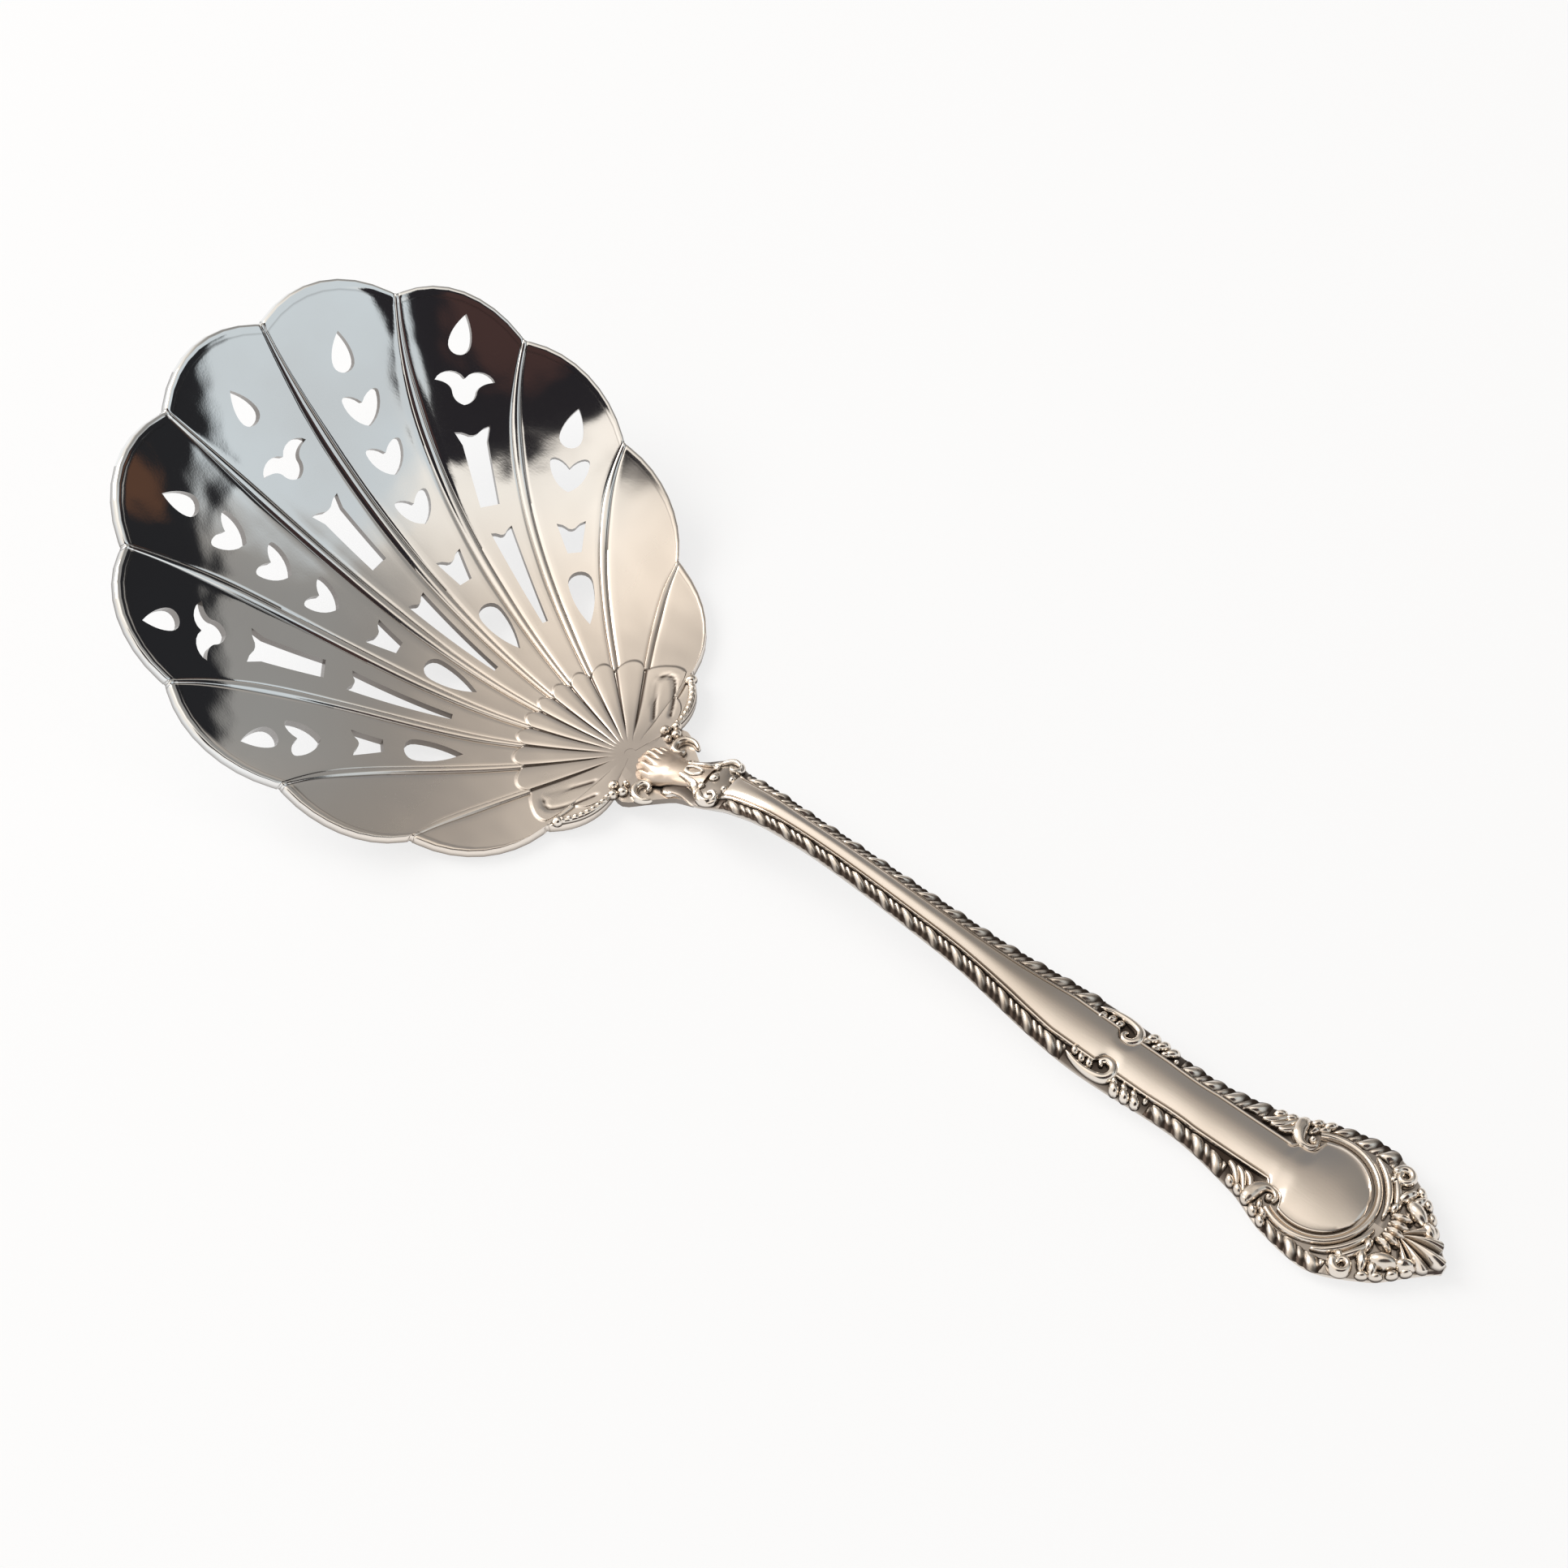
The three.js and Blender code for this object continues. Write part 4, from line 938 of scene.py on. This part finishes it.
def waistScroll(bm):
    tall = stem["mountHeight"]
    y = stem["scrollY"]
    verts = strand(bm, offsetPath(waistX, y, scrolls["waist"]), 0.72, 1.25 * tall, swelling(0.42, 1.3))
    for dx, dy in scrolls["waistBuds"]:
        verts += bean(bm, waistX + dx, y + dy, 60, 0.8, 0.52, 0.95 * tall, taper=0.2)
    for k, dx in enumerate(scrolls["waistLeaves"]):
        x = waistX + dx
        outer, inner = handleHalf(x), fieldHalf(x)
        verts += bean(bm, x, outer - 0.82, 46, 1.1, 0.7, (1.3 - 0.1 * k) * tall, taper=0.25)
        verts += bean(bm, x - 0.5, inner + 0.5, 30, 0.75, 0.48, 0.9 * tall)
    verts += bean(bm, leafEnd - 0.7, fieldHalf(leafEnd) + 0.45, 0, 0.42, 0.42, 0.9 * tall)
    laidOn(bm, verts, onLedge, tall)


def hookTaper(share):  # full near its start, then a thin curl
    return (0.5 + 0.5 * ease(share, 0, 0.15)) * (1 - 0.6 * ease(share, 0.3, 0.7))


def shoulderLeaf(bm):
    tall = stem["mountHeight"]
    y = stem["shoulderY"]
    verts = []
    for k in range(3):
        root = shoulderStart + 0.2 + 1.15 * k
        tip = root + 2.7
        inner = fieldHalf(root)
        blade = [(root, inner + 0.6), (root + 1.3, inner + 1.35), (tip, handleHalf(tip) - 0.75)]
        verts += strand(bm, blade, 0.5, 1.15 * tall, leafBlade, steps=8)
    hook = offsetPath(shoulderX, y, scrolls["shoulder"])
    verts += strand(bm, hook, 1.05, 1.35 * tall, hookTaper, steps=6)
    verts += bean(bm, shoulderX, y - 0.2, 0, 0.58, 0.58, 1.25 * tall)
    for dx, dy, heading in scrolls["shoulderBuds"]:
        verts += bean(bm, shoulderX + dx, y + dy, heading, 0.95, 0.5, 1.1 * tall, taper=0.2)
    for dx in scrolls["shoulderEdge"]:
        x = shoulderX + dx
        verts += bean(bm, x, handleHalf(x) - 0.75, 42, 1.0, 0.6, 1.1 * tall, taper=0.2)
    laidOn(bm, verts, onLedge, tall)


def endScroll(bm):
    tall = stem["mountHeight"]
    x = endX + 6.7
    y = handleHalf(x) - 1.75
    verts = strand(bm, curl(x, y, **scrolls["endCurl"]), 0.72, 1.6 * tall, lambda share: 1 - 0.4 * share)
    for reach, first, last in scrolls["endArcs"]:
        arc = [(panelX + reach * math.cos(math.radians(a)), reach * math.sin(math.radians(a)))
               for a in spread(first, last, 6)]
        verts += strand(bm, arc, 0.55, 1.2 * tall, swelling(0.5))
    for dx, dy, heading, length, width, rise in scrolls["endLeaves"]:
        verts += bean(bm, finialX + dx, dy, heading, length, width, rise * tall, taper=-0.15)
    for dx in scrolls["endEdge"]:
        edgeX = finialX + dx
        verts += bean(bm, edgeX, handleHalf(edgeX) - 0.68, -30 - 4 * dx, 0.9, 0.62, 1.1 * tall)
    laidOn(bm, verts, onLedge, 0.8 * tall)


makePair("waist_scroll", waistScroll)
makePair("shoulder_leaf", shoulderLeaf)
makePair("end_scroll", endScroll)
print("scrolls and leaves laid")


thread = {"height": 0.85, "open": 121, "steps": 94,
          "profile": [(-1, 0), (-1, 0.5), (-0.88, 0.68), (-0.74, 0.66), (-0.62, 0.4), (-0.5, 0.5),
                      (-0.3, 0.82), (0, 0.98), (0.3, 1), (0.62, 0.86), (0.88, 0.5), (1, 0)]}


def makeThread():
    bm = newForm()
    rings = []
    for degrees in spread(-thread["open"], thread["open"], thread["steps"]):
        bearing = math.radians(degrees)
        reach = [threadRadius + a * stem["threadWidth"] / 2 for a, b in thread["profile"]]
        rings.append([(panelX + r * math.cos(bearing), r * math.sin(bearing), b * thread["height"])
                      for r, (a, b) in zip(reach, thread["profile"])])
    laidOn(bm, ringLoft(bm, rings), onLedge, 0.55 * thread["height"])
    return meshFrom(bm, "panel_thread_mount", 45)


place(makeThread(), mountSilver, "panel_thread")


finial = {"halfAngle": 56, "rays": 5, "raySteps": 16, "rows": 20, "rise": 1.75, "root": 1.9}


def makeFinial():
    bm = newForm()
    rootX = finialX + finial["root"]

    def rimReach(bearing):
        reach = 1.0
        while (handleHalf(rootX + reach * math.cos(bearing)) > reach * abs(math.sin(bearing))
               and rootX + reach * math.cos(bearing) < handleReach - 0.1):
            reach += 0.05
        return reach
    columns = finial["rays"] * finial["raySteps"]

    def point(column, row):
        u, v = column / columns, row / finial["rows"]
        bearing = math.radians(finial["halfAngle"] * (2 * u - 1))
        ray = abs(math.sin(math.pi * u * finial["rays"])) ** 0.8
        side = abs(2 * u - 1)
        full = rimReach(bearing) * (1 - 0.22 * ease(side, 0.5, 1))
        reach = 0.8 + (full * (0.84 + 0.16 * ray) - 0.8) * v
        crest = 0.45 + 0.55 * math.sin(math.pi * (0.1 + 0.62 * v))
        rise = finial["rise"] * crest * (0.2 + 0.8 * ray) * (1 - 0.25 * side)
        return (rootX + reach * math.cos(bearing), reach * math.sin(bearing), rise, 0.9 * (1 - ray) ** 1.5)
    verts = seated(bm, gridSheet(bm, columns, finial["rows"], point))
    for side in (-2, -1, 0, 1, 2):
        x = finialX + 1.7 - 0.1 * side * side
        verts += bean(bm, x, 1.08 * side, 7 * side, 1.5, 0.56, 1.75, taper=0.1)
    laidOn(bm, verts, onLedge, 0.9)
    return meshFrom(bm, "shell_finial_mount", 50)


place(makeFinial(), mountSilver, "shell_finial")
print("panel thread and shell laid")


# neck

neck = {"front": 2.2, "half": 3.1, "height": 2.5, "flutes": 6, "tongueRows": 34, "baseMark": 0.62,
        "base": (0.6, 4.2, 2.1),  # the collar's base: beyond the collar line, half across, half along
        "scroll": [(7.7, 5.0), (6.5, 5.7), (5.1, 5.5), (4.4, 4.4), (4.8, 3.3), (5.9, 3.3), (6.1, 4.2)],
        "flank": [(9.0, 0.95), (10.6, 1.3), (12.2, 1.9), (13.5, 2.9), (14.8, 3.7), (16.0, 3.5), (16.3, 2.6),
                  (15.5, 2.1), (14.9, 2.6)],
        "knots": [(14.1, 0, 0.75), (13.3, 1.75, 0.55), (16.6, 0.9, 0.6)],
        "beads": [(1.6, 5.5, 0.75), (2.9, 4.5, 0.55), (3.3, 5.7, 0.8), (2.5, 6.8, 0.75)]}
tongueEnd = collarX - 1.0
tongueSpread = softCurve([(neck["front"], 0.86 * neck["half"]), (noseX - 2, neck["half"]),
                          (noseX + 2, 0.66 * neck["half"]), (tongueEnd, 0.62 * neck["half"])])
tongueRise = softCurve([(neck["front"] - 1, 0.8 * neck["height"]), (neck["front"] + 1, neck["height"]),
                        (noseX - 1, 0.9 * neck["height"]), (noseX + 3, 0.65 * neck["height"]),
                        (tongueEnd, 0.48 * neck["height"])])


def roundTongue(s):  # its section, by the share across
    return math.sqrt(1 - 0.97 * s * s)


def tongueSeat(x, y):  # level across, from the bowl's face on to the stem
    bowlFace = dish(x, 0) + bowl["fanRise"] - 0.1
    stemFace = max(bowlFace, ledge(x) - stem["mountSink"])
    return bowlFace + (stemFace - bowlFace) * ease(x, noseX - 2.2, noseX + 0.4)


def makeTongue():
    bm = newForm()
    columns, rows = neck["flutes"] * 8, neck["tongueRows"]

    def point(column, row):
        u, v = column / columns, row / rows
        s = 2 * u - 1
        flute = abs(math.sin(math.pi * u * neck["flutes"])) ** 0.8
        front = neck["front"] + 1.5 * s * s - 0.5 * flute
        x = front + (tongueEnd - front) * v
        ridge = 1 - ease(v, 0, 0.3)
        rise = tongueRise(x) * roundTongue(s) * (0.3 + 0.7 * ease(v, -0.02, 0.1))
        rise *= 1 - 0.3 * ridge * (1 - flute)
        return (x, tongueSpread(x) * s, rise, 0.7 * ridge * (1 - flute) ** 2)
    verts = seated(bm, gridSheet(bm, columns, rows, point))
    laidOn(bm, verts, tongueSeat, 0.35)
    return meshFrom(bm, "neck_tongue_lap", 55)


place(makeTongue(), shadedHeelSilver, "neck_tongue")


def neckSeat(x, y):  # from the bowl's heel up to the stem
    low = dish(x, y) + 0.05
    return low + (ledge(x) - 0.5 - low) * ease(x, noseX + 0.5, collarX - 1.5)


def neckScroll(bm):
    tall = stem["mountHeight"]
    verts = strand(bm, neck["scroll"], 0.6, 1.3 * tall, swelling(0.3, 0.6), steps=6)
    for x, y, size in neck["beads"]:
        verts += bean(bm, x, y, 0, size, size, 1.2 * tall)
    edge = []
    for share in spread(0.12, 0.93, 6):
        rim = rimPoint(lobes - 1, 1 - share)
        edge.append((rim - rim.normalized() * 0.75).to_tuple())
    verts += strand(bm, edge, 0.62, 0.75 * tall, swelling(0.75), steps=6)
    for share in spread(0.06, 0.9, 8):
        at, ahead = runThrough(edge, share)
        heading = math.degrees(math.atan2(ahead.y, ahead.x)) + 40
        verts += bean(bm, at.x, at.y, heading, 0.62, 0.4, 0.95 * tall)
    verts += bean(bm, edge[-1][0] + 0.2, edge[-1][1] - 0.1, 60, 0.85, 0.75, 1.1 * tall)
    laidOn(bm, verts, neckSeat, 0.8 * tall)


makePair("neck_scroll", neckScroll)


def neckTop(x, y):  # what the collar's strands lie on
    s = min(1, abs(y) / tongueSpread(x))
    tongue = tongueRise(x) * roundTongue(s) if x < tongueEnd else 0.0
    beyond, across, along = neck["base"]
    swell = 1 - ((x - collarX - beyond) / along) ** 2 - (y / across) ** 2
    return ledge(x) - 0.2 + max(tongue, 1.1 * stem["mountHeight"] * math.sqrt(max(0, swell)))


def makeCollar():
    bm = newForm()
    tall = stem["mountHeight"]
    beyond, across, along = neck["base"]
    base = bean(bm, collarX + beyond, 0, 90, across, along, 1.1 * tall, sides=20)
    for v in base:
        v[bm.verts.layers.float["tarnishAndShade"]] = neck["baseMark"]
    laidOn(bm, base, onLedge, tall)
    verts = []
    for side in (1, -1):
        flank = [(px, side * py) for px, py in neck["flank"]]
        verts += strand(bm, flank, 0.5, 0.9 * tall, swelling(0.55), steps=7)
        for x, y, size in neck["knots"]:
            if side > 0 or y:
                verts += bean(bm, x, side * y, 0, size, size, 0.95 * tall)
    eye = [(collarX - 3.4 + 1.3 * math.cos(t), 0.62 * math.sin(t)) for t in spread(0, 2 * math.pi, 12)]
    verts += strand(bm, eye, 0.28, 0.55, swelling(1))
    laidOn(bm, verts, neckTop, 0.7 * tall)
    return meshFrom(bm, "neck_collar_mount", 45)


place(makeCollar(), mountSilver, "neck_collar")


heelDrop = {"x": 5.8, "length": 5.4, "half": 2.5, "depth": 0.6, "bite": 0.02}


def makeDrop():
    bm = newForm()
    verts = bean(bm, heelDrop["x"], 0, 0, heelDrop["length"], heelDrop["half"], heelDrop["depth"], sides=24)
    for v in verts:
        v.co.z = dish(v.co.x, v.co.y) - bowl["thickness"] + heelDrop["bite"] - v.co.z
    return meshFrom(bm, "heel_drop_back", 60)


place(makeDrop(), bowlSilver, "heel_drop")
print("neck built")


# floor, light and camera

tableTop = {"radius": 3.0, "mottle": 9.0, "pale": (0.80, 0.80, 0.80, 1), "paler": (0.82, 0.82, 0.82, 1),
            "shown": (0.95, 0.97, 1, 1), "glowShare": 0.7}


def makeFloor():
    bm = bmesh.new()
    bmesh.ops.create_circle(bm, cap_ends=True, segments=64, radius=tableTop["radius"])
    table = linked("table_top", plainMesh(bm, "table_top"))
    material, wire = startMaterial("tableWhite")
    path = wire.add("ShaderNodeLightPath")
    seen = path
    for ray in ("Is Glossy Ray", "Is Transmission Ray"):
        seen = seen + Wire(wire.tree, path.socket.node.outputs[ray])
    shown = seen.maths("MINIMUM", seen, 1.0)
    spot = wire.add("ShaderNodeTexCoord", out=3)
    mottle = wire.add("ShaderNodeTexNoise", None, {"Vector": spot, "Scale": tableTop["mottle"]})
    pale = mottle.remap(0.2, 0.8).blend(tableTop["pale"], tableTop["paler"])
    lit = wire.add("ShaderNodeBsdfDiffuse", None, {"Color": shown.blend(pale, tableTop["shown"])})
    glow = wire.add("ShaderNodeEmission", None, {"Color": (1, 1, 1, 1), "Strength": 1.0})
    shader = wire.add("ShaderNodeMixShader", None, {0: shown * tableTop["glowShare"], 1: lit, 2: glow})
    wire.add("ShaderNodeOutputMaterial", None, {0: shader})
    table.data.materials.append(material)


makeFloor()

room = {
    "low": (1, 1, 1, 1), "overhead": (1.0, 0.94, 0.86, 1), "rise": (0.15, 0.5),
    "zones": [  # each is where all its caps meet: azimuth, elevation, half angle, soft edge
        ([(95, 20, 46, 24)], (0.42, 0.38, 0.34, 1)),
        ([(114, 34, 17, 9)], (0.27, 0.27, 0.275, 1)),
        ([(68, 38, 21, 11)], (0.31, 0.30, 0.285, 1)),
        ([(20, 33, 19, 5)], (0.66, 0.71, 0.735, 1)),
        ([(-140, 66, 24, 14)], (1.3, 1.22, 1.12, 1)),
        ([(-35, 25, 45, 1.5), (-101.2, 16.2, 90, 1.2), (0, 90, 66, 4)], (0.022, 0.02, 0.023, 1)),
        ([(-26, 46, 13, 2), (-101.2, 16.2, 90, 1.2)], (0.065, 0.036, 0.033, 1)),
        ([(53, -40, 70, 1.5), (114, 0, 90, 2), (-6, 0, 90, 3), (0, 90, 76, 2)], (0.02, 0.02, 0.022, 1)),
        ([(46, 21, 3.2, 1.6)], (0.1, 0.05, 0.032, 1)),
    ],
}


def makeWorld():
    world = bpy.data.worlds.new("softRoom")
    bpy.context.scene.world = world
    world.use_nodes = True
    world.node_tree.nodes.clear()
    wire = Wire(world.node_tree)
    heading = wire.add("ShaderNodeTexCoord")
    height = wire.add("ShaderNodeSeparateXYZ", None, {0: heading}, out=2)
    colour = height.remap(*room["rise"]).blend(room["low"], room["overhead"])
    for caps, tint in room["zones"]:
        inside = 1.0
        for azimuth, elevation, half, soft in caps:
            a, e = math.radians(azimuth), math.radians(elevation)
            centre = (math.cos(a) * math.cos(e), math.sin(a) * math.cos(e), math.sin(e))
            facing = wire.add("ShaderNodeVectorMath", {"operation": "DOT_PRODUCT"},
                              {0: heading, 1: centre}, out=1)
            edge = math.cos(math.radians(half + soft)), math.cos(math.radians(max(half - soft, 0)))
            inside = facing.remap(*edge) * inside
        colour = inside.blend(colour, tint)
    back = wire.add("ShaderNodeBackground", None, {"Color": colour, "Strength": 1.0})
    wire.add("ShaderNodeOutputWorld", None, {0: back})


makeWorld()


sideLamp = {"spot": (-0.95, -0.3, 0.9), "size": 0.8, "power": 7.5, "tint": (1.0, 0.97, 0.94)}


def makeLamp():  # aimed at the origin
    lamp = bpy.data.lights.new("softSide", "AREA")
    lamp.shape = "DISK"
    lamp.size = sideLamp["size"]
    lamp.energy = sideLamp["power"]
    lamp.color = sideLamp["tint"]
    piece = linked("softSide", lamp)
    piece.location = sideLamp["spot"]
    piece.rotation_euler = (-Vector(sideLamp["spot"])).to_track_quat("-Z", "Y").to_euler()


makeLamp()

view = {"azimuth": 37.06319, "elevation": 55.90336, "distance": 495.4388,
        "target": (-7.26109, 8.17535, 2.51407), "lens": 86.646}


def makeCamera():
    a, e = math.radians(view["azimuth"]), math.radians(view["elevation"])
    back = Vector((math.sin(a) * math.cos(e), -math.cos(a) * math.cos(e), math.sin(e)))
    right = Vector((math.cos(a), math.sin(a), 0))
    up = back.cross(right)
    data = bpy.data.cameras.new("photoView")
    data.sensor_width = 36
    data.sensor_fit = "HORIZONTAL"
    data.lens = view["lens"]
    data.clip_start = 0.01
    camera = linked("photoView", data)
    turn = Matrix((right, up, back)).transposed().to_4x4()
    spot = (Vector(view["target"]) + back * view["distance"]) * mm
    camera.matrix_world = Matrix.Translation(spot) @ turn
    bpy.context.scene.camera = camera


makeCamera()
bpy.context.scene.view_settings.view_transform = "Standard"
print("table, light and camera set")
